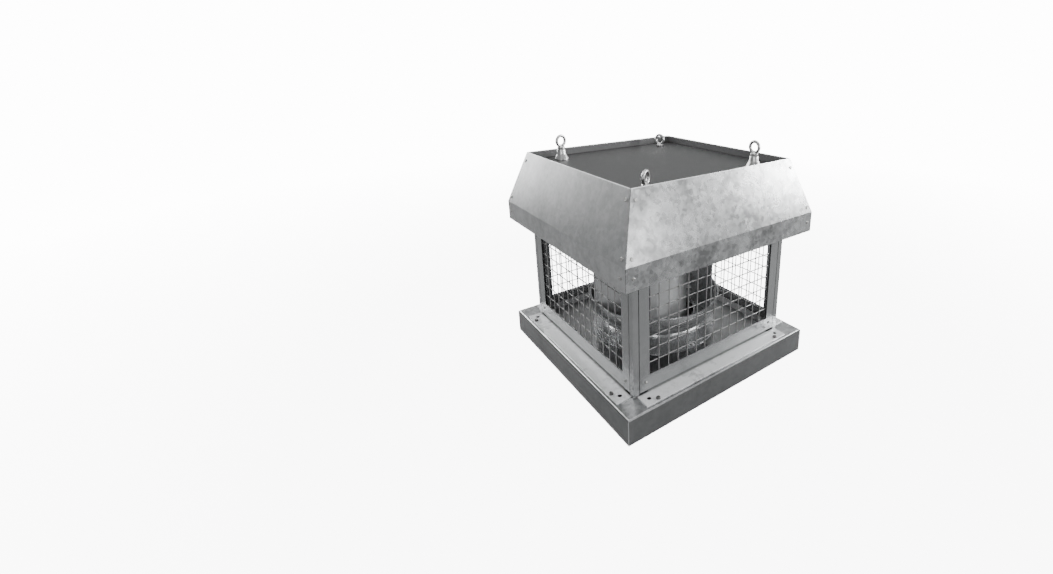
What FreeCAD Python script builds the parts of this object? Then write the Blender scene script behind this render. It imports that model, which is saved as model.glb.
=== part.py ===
import FreeCAD, Part
# Square roof extract fan: a base tray, a cage of mesh guards, a hood, and a wheel on its own motor.
#
# Units are millimetres. The origin is the centre of the base's lower edge, +Z is up and -Y is the front.
# The driving sizes are in the Sizes sheet, and every sketch and primitive is bound to them.
import math
import os

import Sketcher
from FreeCAD import Placement, Rotation, Vector

SIZES = [
    # base tray and the strips on it
    ("base_width", 600, "outer width of the square base"),
    ("base_height", 66.5, "height of the base's skirt"),
    ("base_sheet", 2, "sheet of the base tray and the sills"),
    ("base_bend", 5, "outer bend radius along the base's top edge"),
    ("sill_outside", 290, "centre to the outer edge of a sill"),
    ("sill_half", 241, "half the length of a sill"),
    ("sill_leg_half", 208, "half the length of a sill's upright leg"),
    ("sill_leg", 20, "height of a sill's upright leg"),
    ("fixing_near", 222, "fixing hole, distance along the side from the centre"),
    ("fixing_far", 270, "fixing hole, distance out from the centre"),
    ("fixing_radius", 5.5, "radius of a fixing hole"),
    ("sill_bolt_along", 205, "sill bolt, distance along the side"),
    ("sill_bolt_out", 283, "sill bolt, distance out from the centre"),
    # cage
    ("cage_half", 250, "half the width over the cage"),
    ("cage_top", 374, "height of the motor plate's underside"),
    ("post_face", 15, "visible width of a post beside its corner"),
    ("post_step", 10, "depth of the joggle behind a guard"),
    ("post_landing", 24, "width of the landing that a guard is screwed to"),
    ("post_sheet", 2, "sheet of a post"),
    ("guard_half", 233, "half the width of a guard frame"),
    ("guard_bottom", 73.5, "height of a guard frame's lower edge"),
    ("guard_top", 372, "height of a guard frame's upper edge"),
    ("guard_sheet", 1.5, "sheet of a guard frame"),
    ("guard_stile", 28, "width of a guard frame's stiles"),
    ("guard_rail", 37.5, "height of a guard frame's lower rail"),
    ("guard_head", 30, "height of a guard frame's upper rail"),
    ("guard_screw_along", 216, "guard screw, distance along the side"),
    ("guard_screw_low", 95, "height of the lower guard screws"),
    ("guard_screw_high", 352, "height of the upper guard screws"),
    ("wire", 2.5, "thickness of a mesh wire"),
    ("wire_bite", 0.4, "how far welded wires sink into each other"),
    ("mesh_half", 214, "half the width of a mesh sheet"),
    ("mesh_low", 101, "height of a mesh sheet's lower edge"),
    ("mesh_high", 352, "height of a mesh sheet's upper edge"),
    ("mesh_first_row", 107.7, "height of the lowest cross wire"),
    ("mesh_pitch", 33.3, "spacing of the cross wires"),
    ("mesh_column_pitch", 29.3, "spacing of the upright wires"),
    # hood
    ("hood_sheet", 1.5, "sheet of the hood"),
    ("hood_half", 300, "half the width over the hood's skirt"),
    ("skirt_bottom", 367, "height of the skirt's lower edge"),
    ("fold_height", 420, "height of the fold between skirt and slope"),
    ("rim_half", 252, "half the width over the hood's rim"),
    ("rim_height", 563, "height of the hood's rim"),
    ("rim_wall", 1.5, "thickness of the rim's turned-in wall"),
    ("deck_height", 540, "height of the deck's underside"),
    ("deck_ledge", 18, "width of the ledge that carries the deck"),
    ("deck_upturn", 21, "height of the deck's upturned edges"),
    ("hem_width", 9, "width of the skirt's turned-in hem"),
    ("mitre_gap", 0.4, "gap at a mitred hip"),
    ("hip_leg", 34, "width of a hip strip's leg"),
    # motor plate, hood brackets, lifting gear
    ("plate_sheet", 3, "sheet of the motor plate"),
    ("bracket_sheet", 2.5, "sheet of a hood bracket"),
    ("bracket_inside", 205, "centre to the inner edge of a hood bracket"),
    ("bracket_leg", 30, "height of a hood bracket's upright legs"),
    ("bracket_leg_width", 60, "width of a hood bracket's upright legs"),
    ("skirt_screw_height", 394, "height of the skirt screws"),
    ("skirt_screw_along", 281, "skirt screw, distance along the side"),
    ("eye_x", 174, "lifting eye, distance from the centre along X"),
    ("eye_y", 197, "lifting eye, distance from the centre along Y"),
    ("rod_radius", 4, "radius of a lifting rod"),
    ("eye_foot", 29, "height of the feet under the two raised lifting eyes"),
    ("rod_grip", 4.5, "how far a rod reaches into its lifting eye"),
    ("eye_ring", 14, "radius of a lifting eye's ring, to the bar's centre"),
    ("eye_bar", 4, "radius of a lifting eye's bar"),
    # nozzle and wheel
    ("inlet_radius", 150, "radius of the hole in the base tray"),
    ("throat_radius", 115, "inner radius of the nozzle's throat"),
    ("nozzle_sheet", 1.5, "sheet of the nozzle and the wheel's shroud"),
    ("nozzle_flange", 180, "outer radius of the nozzle's flange"),
    ("nozzle_lip", 6, "height of the nozzle's straight lip"),
    ("nozzle_screw_circle", 168, "radius of the nozzle screws' circle"),
    ("wheel_radius", 187, "outer radius of the wheel"),
    ("wheel_gap", 3, "gap between the nozzle's lip and the wheel's eye"),
    ("eye_bottom", 101, "height of the lower edge of the wheel's eye"),
    ("shroud_floor", 108, "height of the shroud's underside next to its eye"),
    ("shroud_bowl", 42, "outer radius of the shroud's rounded bowl"),
    ("shroud_edge", 172, "height of the shroud's outer edge"),
    ("shroud_curl", 3, "width of the curl on the shroud's outer edge"),
    ("back_plate", 308, "height of the wheel's back plate, underside"),
    ("back_sheet", 2, "sheet of the wheel's back plate"),
    ("blade_sheet", 2, "thickness of a blade"),
    ("blade_inner", 118, "radius of a blade's inner edge"),
    ("blade_sweep", 50, "angle that a blade sweeps through, degrees"),
    ("blade_start", 49.3, "angle of the first blade's outer edge, degrees"),
    # motor
    ("rotor_radius", 69, "outer radius of the rotor can"),
    ("rotor_low", 262, "height of the rotor can's lower face"),
    ("rotor_high", 358, "height of the rotor can's open edge"),
    ("rotor_wall", 5, "wall of the rotor can"),
    ("rotor_flange", 84, "radius of the rotor can's mounting flange"),
    ("rotor_flange_sheet", 4, "thickness of the rotor can's mounting flange"),
    ("rotor_screw_circle", 77, "radius of the rotor screws' circle"),
    ("shaft_radius", 8, "radius of the motor shaft"),
    ("shaft_fit", 0.03, "radial clearance of the shaft in its bearings"),
    ("bearing_radius", 17.5, "outer radius of a bearing"),
    ("bearing_width", 11, "width of a bearing"),
    ("tube_radius", 24, "outer radius of the stator's centre tube"),
    ("stator_radius", 60, "outer radius of the stator winding"),
    ("flange_radius", 78, "radius of the motor's mounting flange"),
    ("flange_sheet", 8, "thickness of the motor's mounting flange"),
    ("motor_bolt_circle", 66, "radius of the motor bolts' circle"),
]

doc = FreeCAD.newDocument("RoofFan")
sheet = doc.addObject("Spreadsheet::Sheet", "Sizes")


class Formula:
    """A size worked out from cells of the sheet: its number now, and the text that keeps it bound."""

    def __init__(self, number, text):
        self.number = float(number)
        self.text = text

    def join(self, sign, other, number):
        return Formula(number, f"({self.text} {sign} {formula(other).text})")

    def __add__(self, other):
        return self.join("+", other, self.number + formula(other).number)

    def __sub__(self, other):
        return self.join("-", other, self.number - formula(other).number)

    def __mul__(self, other):
        return self.join("*", other, self.number * formula(other).number)

    def __truediv__(self, other):
        return self.join("/", other, self.number / formula(other).number)

    def __neg__(self):
        return Formula(-self.number, f"(0 - {self.text})")

    __radd__ = __add__
    __rmul__ = __mul__

    def __rsub__(self, other):
        return formula(other) - self


def formula(value):
    """Return value as a Formula; a plain number stays a plain number."""
    return value if isinstance(value, Formula) else Formula(value, repr(value))


def cosine(angle):
    """Cosine of an angle in degrees."""
    angle = formula(angle)
    return Formula(math.cos(math.radians(angle.number)), f"cos({angle.text})")


def sine(angle):
    """Sine of an angle in degrees."""
    angle = formula(angle)
    return Formula(math.sin(math.radians(angle.number)), f"sin({angle.text})")


def fill_sheet():
    """Write the driving sizes into the sheet and return them as formulas by name."""
    sizes = {}
    for row, (alias, value, meaning) in enumerate(SIZES, start=1):
        sheet.set(f"A{row}", meaning)
        sheet.set(f"B{row}", str(value))
        sheet.setAlias(f"B{row}", alias)
        sizes[alias] = Formula(value, f"Sizes.{alias}")
    doc.recompute()
    return sizes


S = fill_sheet()
SIDES = {"front": 0, "right": 90, "back": 180, "left": 270}
CORNERS = {"front_left": 0, "front_right": 90, "back_right": 180, "back_left": 270}
parts = []


def bind(feature, name, value):
    """Set a length-like property of a feature and keep it bound to the sheet."""
    if isinstance(value, Formula):
        setattr(feature, name, value.number)
        feature.setExpression(name, value.text)
    else:
        setattr(feature, name, value)


def turned(angle):
    """Placement of a piece that is turned about the fan's axis by an angle in degrees."""
    return Placement(Vector(0, 0, 0), Rotation(Vector(0, 0, 1), angle))


# ---------------------------------------------------------------- PartDesign helpers

def new_body(name, angle=0):
    """Start a sub-part as a PartDesign body, turned about the fan's axis by an angle in degrees."""
    body = doc.addObject("PartDesign::Body", name)
    body.Label = name
    body.Placement = turned(angle)
    parts.append(body)
    return body


def new_sketch(body, name, role, offset=0):
    """Start a sketch on one of the body's origin planes, moved along the plane's normal by an offset."""
    plane = next(item for item in body.Origin.OriginFeatures if item.Role == role)
    sketch = body.newObject("Sketcher::SketchObject", name)
    sketch.AttachmentSupport = [(plane, "")]
    sketch.MapMode = "FlatFace"
    offset = formula(offset)
    sketch.AttachmentOffset = Placement(Vector(0, 0, offset.number), Rotation())
    sketch.setExpression("AttachmentOffset.Base.z", offset.text)
    return sketch


def pin(sketch, geometry, point, x, y):
    """Fix a sketch point at x, y from the origin, with both distances bound to the sheet."""
    for kind, axis, value in (("DistanceX", -2, formula(x)), ("DistanceY", -1, formula(y))):
        if value.number == 0:
            sketch.addConstraint(Sketcher.Constraint("PointOnObject", geometry, point, axis))
            continue
        fixed = Sketcher.Constraint(kind, -1, 1, geometry, point, value.number)
        index = sketch.addConstraint(fixed)
        sketch.setExpression(f"Constraints[{index}]", value.text)


def size_radius(sketch, geometry, radius):
    """Give a circle or an arc its radius, bound to the sheet."""
    radius = formula(radius)
    index = sketch.addConstraint(Sketcher.Constraint("Radius", geometry, radius.number))
    sketch.setExpression(f"Constraints[{index}]", radius.text)


def polygon(sketch, corners):
    """Draw a closed outline through the corners, given as pairs of formulas."""
    points = [Vector(formula(x).number, formula(y).number, 0) for x, y in corners]
    first = sketch.GeometryCount
    count = len(points)
    for index in range(count):
        sketch.addGeometry(Part.LineSegment(points[index], points[(index + 1) % count]))
    for index in range(count):
        after = first + (index + 1) % count
        sketch.addConstraint(Sketcher.Constraint("Coincident", first + index, 2, after, 1))
    for index, (x, y) in enumerate(corners):
        pin(sketch, first + index, 1, x, y)


def rectangle(sketch, low_x, low_y, high_x, high_y):
    """Draw a closed rectangle between two opposite corners."""
    polygon(sketch, [(low_x, low_y), (high_x, low_y), (high_x, high_y), (low_x, high_y)])


def circle(sketch, x, y, radius):
    """Draw a full circle."""
    centre = Vector(formula(x).number, formula(y).number, 0)
    drawn = sketch.addGeometry(Part.Circle(centre, Vector(0, 0, 1), formula(radius).number))
    pin(sketch, drawn, 3, x, y)
    size_radius(sketch, drawn, radius)


def outline(sketch, steps):
    """Draw a closed outline of lines and arcs.

    Each step is (x, y) for a line to the next point, or (x, y, radius, side) for an arc to the next
    point, which bulges to the left of the way it is drawn when side is 1 and to the right when it is -1.
    """
    first = sketch.GeometryCount
    count = len(steps)
    points = [Vector(formula(step[0]).number, formula(step[1]).number, 0) for step in steps]
    for index, step in enumerate(steps):
        start, end = points[index], points[(index + 1) % count]
        if len(step) == 2:
            sketch.addGeometry(Part.LineSegment(start, end))
            continue
        radius = formula(step[2]).number
        chord = end - start
        left = Vector(-chord.y, chord.x, 0).normalize()
        sagitta = radius - math.sqrt(max(radius ** 2 - (chord.Length / 2) ** 2, 0))
        middle = (start + end) * 0.5 + left * (sagitta * step[3])
        sketch.addGeometry(Part.Arc(start, middle, end))
    ends = [point_order(sketch, first + index, points[index]) for index in range(count)]
    for index in range(count):
        following = (index + 1) % count
        joint = Sketcher.Constraint(
            "Coincident", first + index, ends[index][1], first + following, ends[following][0])
        sketch.addConstraint(joint)
    for index, step in enumerate(steps):
        pin(sketch, first + index, ends[index][0], step[0], step[1])
        if len(step) > 2:
            size_radius(sketch, first + index, step[2])


def point_order(sketch, geometry, start):
    """Return the numbers of a drawn edge's first and last point, as the outline runs through it."""
    at_first = sketch.getPoint(geometry, 1).distanceToPoint(start) < 1e-6
    return (1, 2) if at_first else (2, 1)


def pad(body, sketch, length, both_ways=False, reverse=False):
    """Pad a sketch along its normal, or by half the length to each side of it."""
    feature = body.newObject("PartDesign::Pad", "pad_" + sketch.Name)
    feature.Profile = sketch
    bind(feature, "Length", length)
    feature.SideType = "Symmetric" if both_ways else "One side"
    feature.Reversed = reverse
    return feature


def cut_through(body, sketch):
    """Cut a sketch through the whole body, to both sides of the sketch."""
    feature = body.newObject("PartDesign::Pocket", "cut_" + sketch.Name)
    feature.Profile = sketch
    feature.Type = "ThroughAll"
    feature.SideType = "Symmetric"
    return feature


def spin(body, sketch):
    """Revolve a profile in the XZ plane a full turn about the fan's axis."""
    feature = body.newObject("PartDesign::Revolution", "spin_" + sketch.Name)
    feature.Profile = sketch
    feature.ReferenceAxis = (sketch, ["V_Axis"])
    feature.Angle = 360
    return feature


def spun_body(name, steps):
    """Make a body of revolution from an outline of radius and height."""
    body = new_body(name)
    sketch = new_sketch(body, name + "_profile", "XZ_Plane")
    outline(sketch, steps)
    spin(body, sketch)
    return body


# ---------------------------------------------------------------- Part helpers

def primitive(kind, name, **values):
    """Add a Part primitive with its sizes bound to the sheet."""
    made = doc.addObject("Part::" + kind, name)
    for key, value in values.items():
        bind(made, key, value)
    return made


def place(made, x, y, z, rotation=None):
    """Put a primitive at a point given in formulas, turned by an optional rotation."""
    made.Placement = Placement(Vector(0, 0, 0), rotation or Rotation())
    for axis, value in (("x", x), ("y", y), ("z", z)):
        made.setExpression("Placement.Base." + axis, formula(value).text)
    return made


def group(name, members):
    """Collect separate solids into one sub-part."""
    made = doc.addObject("Part::Compound", name)
    made.Label = name
    made.Links = members
    parts.append(made)
    return made


# ---------------------------------------------------------------- base

def base_tray():
    """Folded square tray: it drops over a roof curb and carries everything else."""
    body = new_body("base_tray")
    half, inner = S["base_width"] / 2, S["base_width"] / 2 - S["base_sheet"]
    block = new_sketch(body, "block", "XY_Plane")
    rectangle(block, -half, -half, half, half)
    solid = pad(body, block, S["base_height"])
    doc.recompute()
    top = [f"Edge{number}" for number, edge in enumerate(solid.Shape.Edges, start=1)
           if edge.BoundBox.ZMin > S["base_height"].number - 1]
    bend = body.newObject("PartDesign::Fillet", "top_bend")
    bend.Base = (solid, top)
    bind(bend, "Radius", S["base_bend"])
    hollow = new_sketch(body, "hollow", "XY_Plane")
    rectangle(hollow, -inner, -inner, inner, inner)
    cut_up(body, hollow, S["base_height"] - S["base_sheet"])
    holes = new_sketch(body, "holes", "XY_Plane")
    circle(holes, 0, 0, S["inlet_radius"])
    for x, y in eight_places(S["fixing_near"], S["fixing_far"]):
        circle(holes, x, y, S["fixing_radius"])
    for x, y in eight_places(S["sill_bolt_along"], S["sill_bolt_out"]):
        circle(holes, x, y, BOLT_HOLE)
    cut_through(body, holes)
    ring_of_holes(body, S["nozzle_screw_circle"], SCREW_HOLE, NOZZLE_SCREWS)


def eight_places(near, far):
    """Points at (near, far) and (far, near) from the centre, in all four quarters."""
    signs = [(1, 1), (-1, 1), (-1, -1), (1, -1)]
    return [(near * a, far * b) for a, b in signs] + [(far * a, near * b) for a, b in signs]


def sill(name, angle):
    """Strip along one side of the cage's foot, with an upright leg behind the guard."""
    body = new_body(name, angle)
    floor = S["base_height"]
    leg = S["cage_half"] - S["post_step"] - S["post_sheet"]
    inner = leg - S["base_sheet"]
    section = new_sketch(body, "section", "YZ_Plane")
    polygon(section, [
        (-S["sill_outside"], floor),
        (-inner, floor),
        (-inner, floor + S["sill_leg"]),
        (-leg, floor + S["sill_leg"]),
        (-leg, floor + S["base_sheet"]),
        (-S["sill_outside"], floor + S["base_sheet"]),
    ])
    pad(body, section, S["sill_half"] * 2, both_ways=True)
    notches = new_sketch(body, "notches", "XY_Plane")
    end = S["sill_half"] + 5
    beside_post = S["cage_half"] - S["post_face"] - S["post_landing"] - 2
    for side in (-1, 1):
        low, high = sorted((beside_post * side, end * side), key=lambda item: item.number)
        rectangle(notches, low, -(S["cage_half"] + 0.5), high, -leg)
        low, high = sorted((S["sill_leg_half"] * side, end * side), key=lambda item: item.number)
        rectangle(notches, low, -(leg - 0.01), high, -(inner - 1))
    cut_through(body, notches)
    holes = new_sketch(body, "holes", "XY_Plane")
    for side in (-1, 1):
        circle(holes, S["fixing_near"] * side, -S["fixing_far"], S["fixing_radius"])
        circle(holes, S["sill_bolt_along"] * side, -S["sill_bolt_out"], BOLT_HOLE)
    cut_through(body, holes)


# ---------------------------------------------------------------- cage

def corner_post(name, angle):
    """Folded corner post: a square corner in view, and a landing behind each of its two guards."""
    body = new_body(name, angle)
    corner, wall = S["cage_half"], S["post_sheet"]
    face = corner - S["post_face"]
    landing = corner - S["post_step"]
    end = face - S["post_landing"]
    section = new_sketch(body, "section", "XY_Plane", S["base_height"])
    half = [
        (end, landing), (face, landing), (face, corner), (corner, corner),
        (corner, face), (landing, face), (landing, end), (landing - wall, end),
        (landing - wall, face + wall), (corner - wall, face + wall), (corner - wall, corner - wall),
        (face + wall, corner - wall), (face + wall, landing - wall), (end, landing - wall),
    ]
    polygon(section, [(-x, -y) for x, y in half])
    pad(body, section, S["cage_top"] - S["base_height"])
    for plane, side in (("XZ_Plane", -1), ("YZ_Plane", -1)):
        holes = new_sketch(body, "holes_" + plane[:2], plane)
        for height in (S["guard_screw_low"], S["guard_screw_high"]):
            circle(holes, S["guard_screw_along"] * side, height, SCREW_HOLE)
        cut_through(body, holes)


def guard_frame(name, angle):
    """Sheet frame of one guard, with its outer edges returned towards the inside."""
    body = new_body(name, angle)
    half, wall = S["guard_half"], S["guard_sheet"]
    back = S["cage_half"] - S["post_step"]
    face = new_sketch(body, "face", "XZ_Plane", back)
    rectangle(face, -half, S["guard_bottom"], half, S["guard_top"])
    pad(body, face, S["post_step"])
    inside = new_sketch(body, "inside", "XZ_Plane", back)
    rectangle(inside, -(half - wall), S["guard_bottom"] + wall, half - wall, S["guard_top"] - wall)
    cut_up(body, inside, S["post_step"] - wall)
    window = new_sketch(body, "window", "XZ_Plane")
    open_half = half - S["guard_stile"]
    rectangle(window, -open_half, S["guard_bottom"] + S["guard_rail"],
              open_half, S["guard_top"] - S["guard_head"])
    for side in (-1, 1):
        for height in (S["guard_screw_low"], S["guard_screw_high"]):
            circle(window, S["guard_screw_along"] * side, height, SCREW_HOLE)
    cut_through(body, window)


def guard_mesh(name, angle):
    """Welded wire mesh of one guard: upright wires in front, cross wires welded behind them."""
    body = new_body(name, angle)
    wire, bite = S["wire"], S["wire_bite"]
    outer = S["cage_half"] - S["guard_sheet"]
    row = new_sketch(body, "cross_wire", "XZ_Plane", outer - wire * 2 + bite)
    low = S["mesh_first_row"]
    rectangle(row, -S["mesh_half"], low - wire / 2, S["mesh_half"], low + wire / 2)
    first_row = pad(body, row, wire)
    column = new_sketch(body, "upright_wire", "XZ_Plane", outer - wire)
    reach = S["mesh_column_pitch"] * ((MESH_COLUMNS - 1) / 2)
    rectangle(column, -(reach + wire / 2), S["mesh_low"], -(reach - wire / 2), S["mesh_high"])
    first_column = pad(body, column, wire)
    repeat(body, first_column, column, "H_Axis", reach * 2, MESH_COLUMNS)
    repeat(body, first_row, row, "V_Axis", S["mesh_pitch"] * (MESH_ROWS - 1), MESH_ROWS)


def repeat(body, feature, sketch, axis, length, count):
    """Repeat a feature evenly over a length, along an axis of its sketch."""
    pattern = body.newObject("PartDesign::LinearPattern", "row_of_" + feature.Name)
    pattern.Originals = [feature]
    pattern.Direction = (sketch, [axis])
    bind(pattern, "Length", length)
    pattern.Occurrences = count
    body.Tip = pattern
    doc.recompute()
    return pattern


def cut_up(body, sketch, depth):
    """Cut a sketch by a depth towards the side that its plane's normal points to."""
    feature = body.newObject("PartDesign::Pocket", "pocket_" + sketch.Name)
    feature.Profile = sketch
    bind(feature, "Length", depth)
    feature.Reversed = True
    return feature


def ring_of_holes(body, circle_radius, hole_radius, count):
    """Drill equally spaced holes on a circle about the fan's axis, through the whole body."""
    drill = new_sketch(body, "first_hole", "XY_Plane")
    circle(drill, circle_radius, 0, hole_radius)
    first = cut_through(body, drill)
    pattern = body.newObject("PartDesign::PolarPattern", "ring_of_holes")
    pattern.Originals = [first]
    pattern.Axis = (drill, ["N_Axis"])
    pattern.Angle = 360
    pattern.Occurrences = count
    body.Tip = pattern
    return pattern


# ---------------------------------------------------------------- hood

def hood_panel(name, angle):
    """One side of the hood: hemmed skirt, slope, rim, and a wall down to the ledge for the deck."""
    body = new_body(name, angle)
    wall = S["hood_sheet"]
    outer, rim = S["hood_half"], S["rim_half"]
    lean = (outer - rim) / (S["rim_height"] - S["fold_height"])
    rim_inside = rim - wall - S["rim_wall"]
    fold_top = S["rim_height"] - wall * 2
    ledge = S["deck_height"] - wall
    section = new_sketch(body, "section", "YZ_Plane")
    half = [
        (outer, S["skirt_bottom"]), (outer, S["fold_height"]), (rim, S["rim_height"]),
        (rim_inside, S["rim_height"]), (rim_inside, S["deck_height"]),
        (rim_inside - S["deck_ledge"], S["deck_height"]), (rim_inside - S["deck_ledge"], ledge),
        (rim - wall, ledge), (rim - wall, fold_top), (rim - wall + lean * wall * 2, fold_top),
        (outer - wall, S["fold_height"]), (outer - wall, S["skirt_bottom"] + wall),
        (outer - S["hem_width"], S["skirt_bottom"] + wall), (outer - S["hem_width"], S["skirt_bottom"]),
    ]
    polygon(section, [(-y, z) for y, z in half])
    pad(body, section, outer * 2, both_ways=True)
    mitres = new_sketch(body, "mitres", "XY_Plane")
    gap, near, far = S["mitre_gap"], S["rim_half"] - 60, S["hood_half"] + 20
    for side in (-1, 1):
        polygon(mitres, [
            ((near - gap) * side, -near), ((far - gap) * side, -far),
            ((far + 30) * side, -far), ((far + 30) * side, -near),
        ])
    cut_through(body, mitres)


def hip_strip(name, angle):
    """Folded strip behind a mitred hip, which the two neighbouring slopes are screwed to."""
    body = new_body(name, angle)
    lean = (S["hood_half"] - S["rim_half"]) / (S["rim_height"] - S["fold_height"])
    wall, leg = S["hood_sheet"], S["hip_leg"]
    sections = []
    for height in (S["fold_height"] + 2, S["deck_height"] - 5):
        corner = S["hood_half"] - wall - lean * (height - S["fold_height"])
        section = new_sketch(body, "section_" + str(len(sections)), "XY_Plane", height)
        half = [(corner, corner), (corner - leg, corner), (corner - leg, corner - wall),
                (corner - wall, corner - wall), (corner - wall, corner - leg), (corner, corner - leg)]
        polygon(section, [(-x, -y) for x, y in half])
        sections.append(section)
    loft = body.newObject("PartDesign::AdditiveLoft", "hip")
    loft.Profile = sections[0]
    loft.Sections = sections[1:]
    loft.Ruled = True


def top_deck():
    """Shallow pan that closes the hood: a flat deck with its edges turned up inside the rim."""
    body = new_body("top_deck")
    half = S["rim_half"] - S["hood_sheet"] - S["rim_wall"] - 0.5
    inner = half - S["hood_sheet"]
    pan = new_sketch(body, "pan", "XY_Plane", S["deck_height"])
    rectangle(pan, -half, -half, half, half)
    pad(body, pan, S["deck_upturn"])
    hollow = new_sketch(body, "hollow", "XY_Plane", S["deck_height"] + S["hood_sheet"])
    rectangle(hollow, -inner, -inner, inner, inner)
    cut_up(body, hollow, S["deck_upturn"])
    holes = new_sketch(body, "holes", "XY_Plane")
    for x, y in eye_places():
        circle(holes, x, y, S["rod_radius"] + 0.5)
    cut_through(body, holes)


def eye_places():
    """Centres of the four lifting eyes."""
    return [(S["eye_x"] * a, S["eye_y"] * b) for a, b in ((-1, -1), (1, -1), (1, 1), (-1, 1))]


def motor_plate():
    """Square plate on top of the cage: it carries the motor, the hood brackets and the lifting rods."""
    body = new_body("motor_plate")
    half = S["cage_half"] - 2
    plate = new_sketch(body, "plate", "XY_Plane", S["cage_top"])
    rectangle(plate, -half, -half, half, half)
    pad(body, plate, S["plate_sheet"])
    holes = new_sketch(body, "holes", "XY_Plane")
    circle(holes, 0, 0, CABLE_HOLE)
    for x, y in eye_places():
        circle(holes, x, y, S["rod_radius"] + 0.3)
    for a, b in QUARTERS:
        circle(holes, BRACKET_BOLT * a, BRACKET_BOLT * b, BOLT_HOLE)
    cut_through(body, holes)
    ring_of_holes(body, S["motor_bolt_circle"], MOTOR_BOLT + 0.2, MOTOR_BOLTS)


def hood_bracket(name, angle):
    """Corner bracket on the motor plate, with two upright legs that the hood's skirt is screwed to."""
    body = new_body(name, angle)
    floor = S["cage_top"] + S["plate_sheet"]
    outer, inner = S["hood_half"] - S["hood_sheet"], S["bracket_inside"]
    leg_end, wall = outer - S["bracket_leg_width"], S["bracket_sheet"]
    plate = new_sketch(body, "plate", "XY_Plane", floor)
    half = [(outer, outer), (leg_end, outer), (inner, S["cage_half"]), (inner, inner),
            (S["cage_half"], inner), (outer, leg_end)]
    polygon(plate, [(-x, -y) for x, y in half])
    pad(body, plate, wall)
    legs = new_sketch(body, "legs", "XY_Plane", floor)
    half = [(outer, outer), (leg_end, outer), (leg_end, outer - wall),
            (outer - wall, outer - wall), (outer - wall, leg_end), (outer, leg_end)]
    polygon(legs, [(-x, -y) for x, y in half])
    pad(body, legs, S["bracket_leg"])
    holes = new_sketch(body, "holes", "XY_Plane")
    circle(holes, -BRACKET_BOLT, -BRACKET_BOLT, BOLT_HOLE)
    cut_through(body, holes)


# ---------------------------------------------------------------- lifting gear

def eye_seat(raised):
    """Height that a lifting eye stands at: on the deck, or on its foot."""
    deck = S["deck_height"] + S["hood_sheet"]
    return deck + S["eye_foot"] if raised else deck


def lifting_rods():
    """Four rods from the motor plate up to the lifting eyes, each with a nut on the plate."""
    rods = []
    floor = S["cage_top"] + S["plate_sheet"]
    for number, (x, y) in enumerate(eye_places()):
        rod = primitive("Cylinder", f"rod_{number}", Radius=S["rod_radius"],
                        Height=eye_seat(number in RAISED_EYES) + S["rod_grip"] - S["cage_top"])
        place(rod, x, y, S["cage_top"])
        nut = primitive("Prism", f"rod_nut_{number}", Polygon=6, Circumradius=NUT_RADIUS, Height=6.5)
        place(nut, x, y, floor)
        joined = doc.addObject("Part::MultiFuse", f"rod_with_nut_{number}")
        joined.Shapes = [rod, nut]
        rods.append(joined)
    group("lifting_rods", rods)


def lifting_eye(name, x, y, raised, turn):
    """Collar eye: a ring on a short neck over a round collar, screwed on its rod."""
    seat = eye_seat(raised)
    rotation = Rotation(Vector(0, 0, 1), turn)
    collar = place(primitive("Cylinder", name + "_collar", Radius=10, Height=6), x, y, seat)
    neck = primitive("Cone", name + "_neck", Radius1=8.5, Radius2=4.5, Height=5)
    place(neck, x, y, seat + 6)
    bar = primitive("RegularPolygon", name + "_bar", Polygon=8, Circumradius=S["eye_bar"])
    place(bar, S["eye_ring"], 0, 0, Rotation(Vector(1, 0, 0), 90))
    ring = doc.addObject("Part::Revolution", name + "_ring")
    ring.Source = bar
    ring.Axis = Vector(0, 0, 1)
    ring.Angle = 360
    ring.Solid = True
    upright = rotation.multiply(Rotation(Vector(1, 0, 0), 90))
    place(ring, x, y, seat + 6.5 + S["eye_ring"] + S["eye_bar"] - 2, upright)
    made = doc.addObject("Part::MultiFuse", name + "_solid")
    made.Shapes = [collar, neck, ring]
    bore = primitive("Cylinder", name + "_bore", Radius=S["rod_radius"] + 0.1, Height=5)
    place(bore, x, y, seat - 0.1)
    drilled = doc.addObject("Part::Cut", name)
    drilled.Base = made
    drilled.Tool = bore
    drilled.Label = name
    parts.append(drilled)


def eye_feet():
    """Turned feet that raise two of the lifting eyes above the deck."""
    feet = []
    seat = eye_seat(False)
    for number in RAISED_EYES:
        x, y = eye_places()[number]
        foot = primitive("Cone", f"foot_{number}", Radius1=20, Radius2=11, Height=S["eye_foot"])
        bore = primitive("Cylinder", f"foot_bore_{number}", Radius=S["rod_radius"] + 0.3, Height=60)
        drilled = doc.addObject("Part::Cut", f"foot_drilled_{number}")
        drilled.Base = place(foot, x, y, seat)
        drilled.Tool = place(bore, x, y, seat - 5)
        feet.append(drilled)
    group("eye_feet", feet)


# ---------------------------------------------------------------- nozzle and wheel

def inlet_nozzle():
    """Spun bell mouth on the base tray: a flange, a rounded bell and a straight lip at the throat."""
    wall, floor = S["nozzle_sheet"], S["base_height"]
    bell = S["inlet_radius"] - S["throat_radius"]
    throat, outer = S["throat_radius"], S["throat_radius"] + wall
    start = S["inlet_radius"]
    top = floor + bell
    body = spun_body("inlet_nozzle", [
        (S["nozzle_flange"], floor),
        (S["nozzle_flange"], floor + wall),
        (start, floor + wall, bell - wall, 1),
        (outer, top),
        (outer, top + S["nozzle_lip"]),
        (throat, top + S["nozzle_lip"]),
        (throat, top, bell, -1),
        (start, floor),
    ])
    ring_of_holes(body, S["nozzle_screw_circle"], SCREW_HOLE, NOZZLE_SCREWS)


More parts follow.
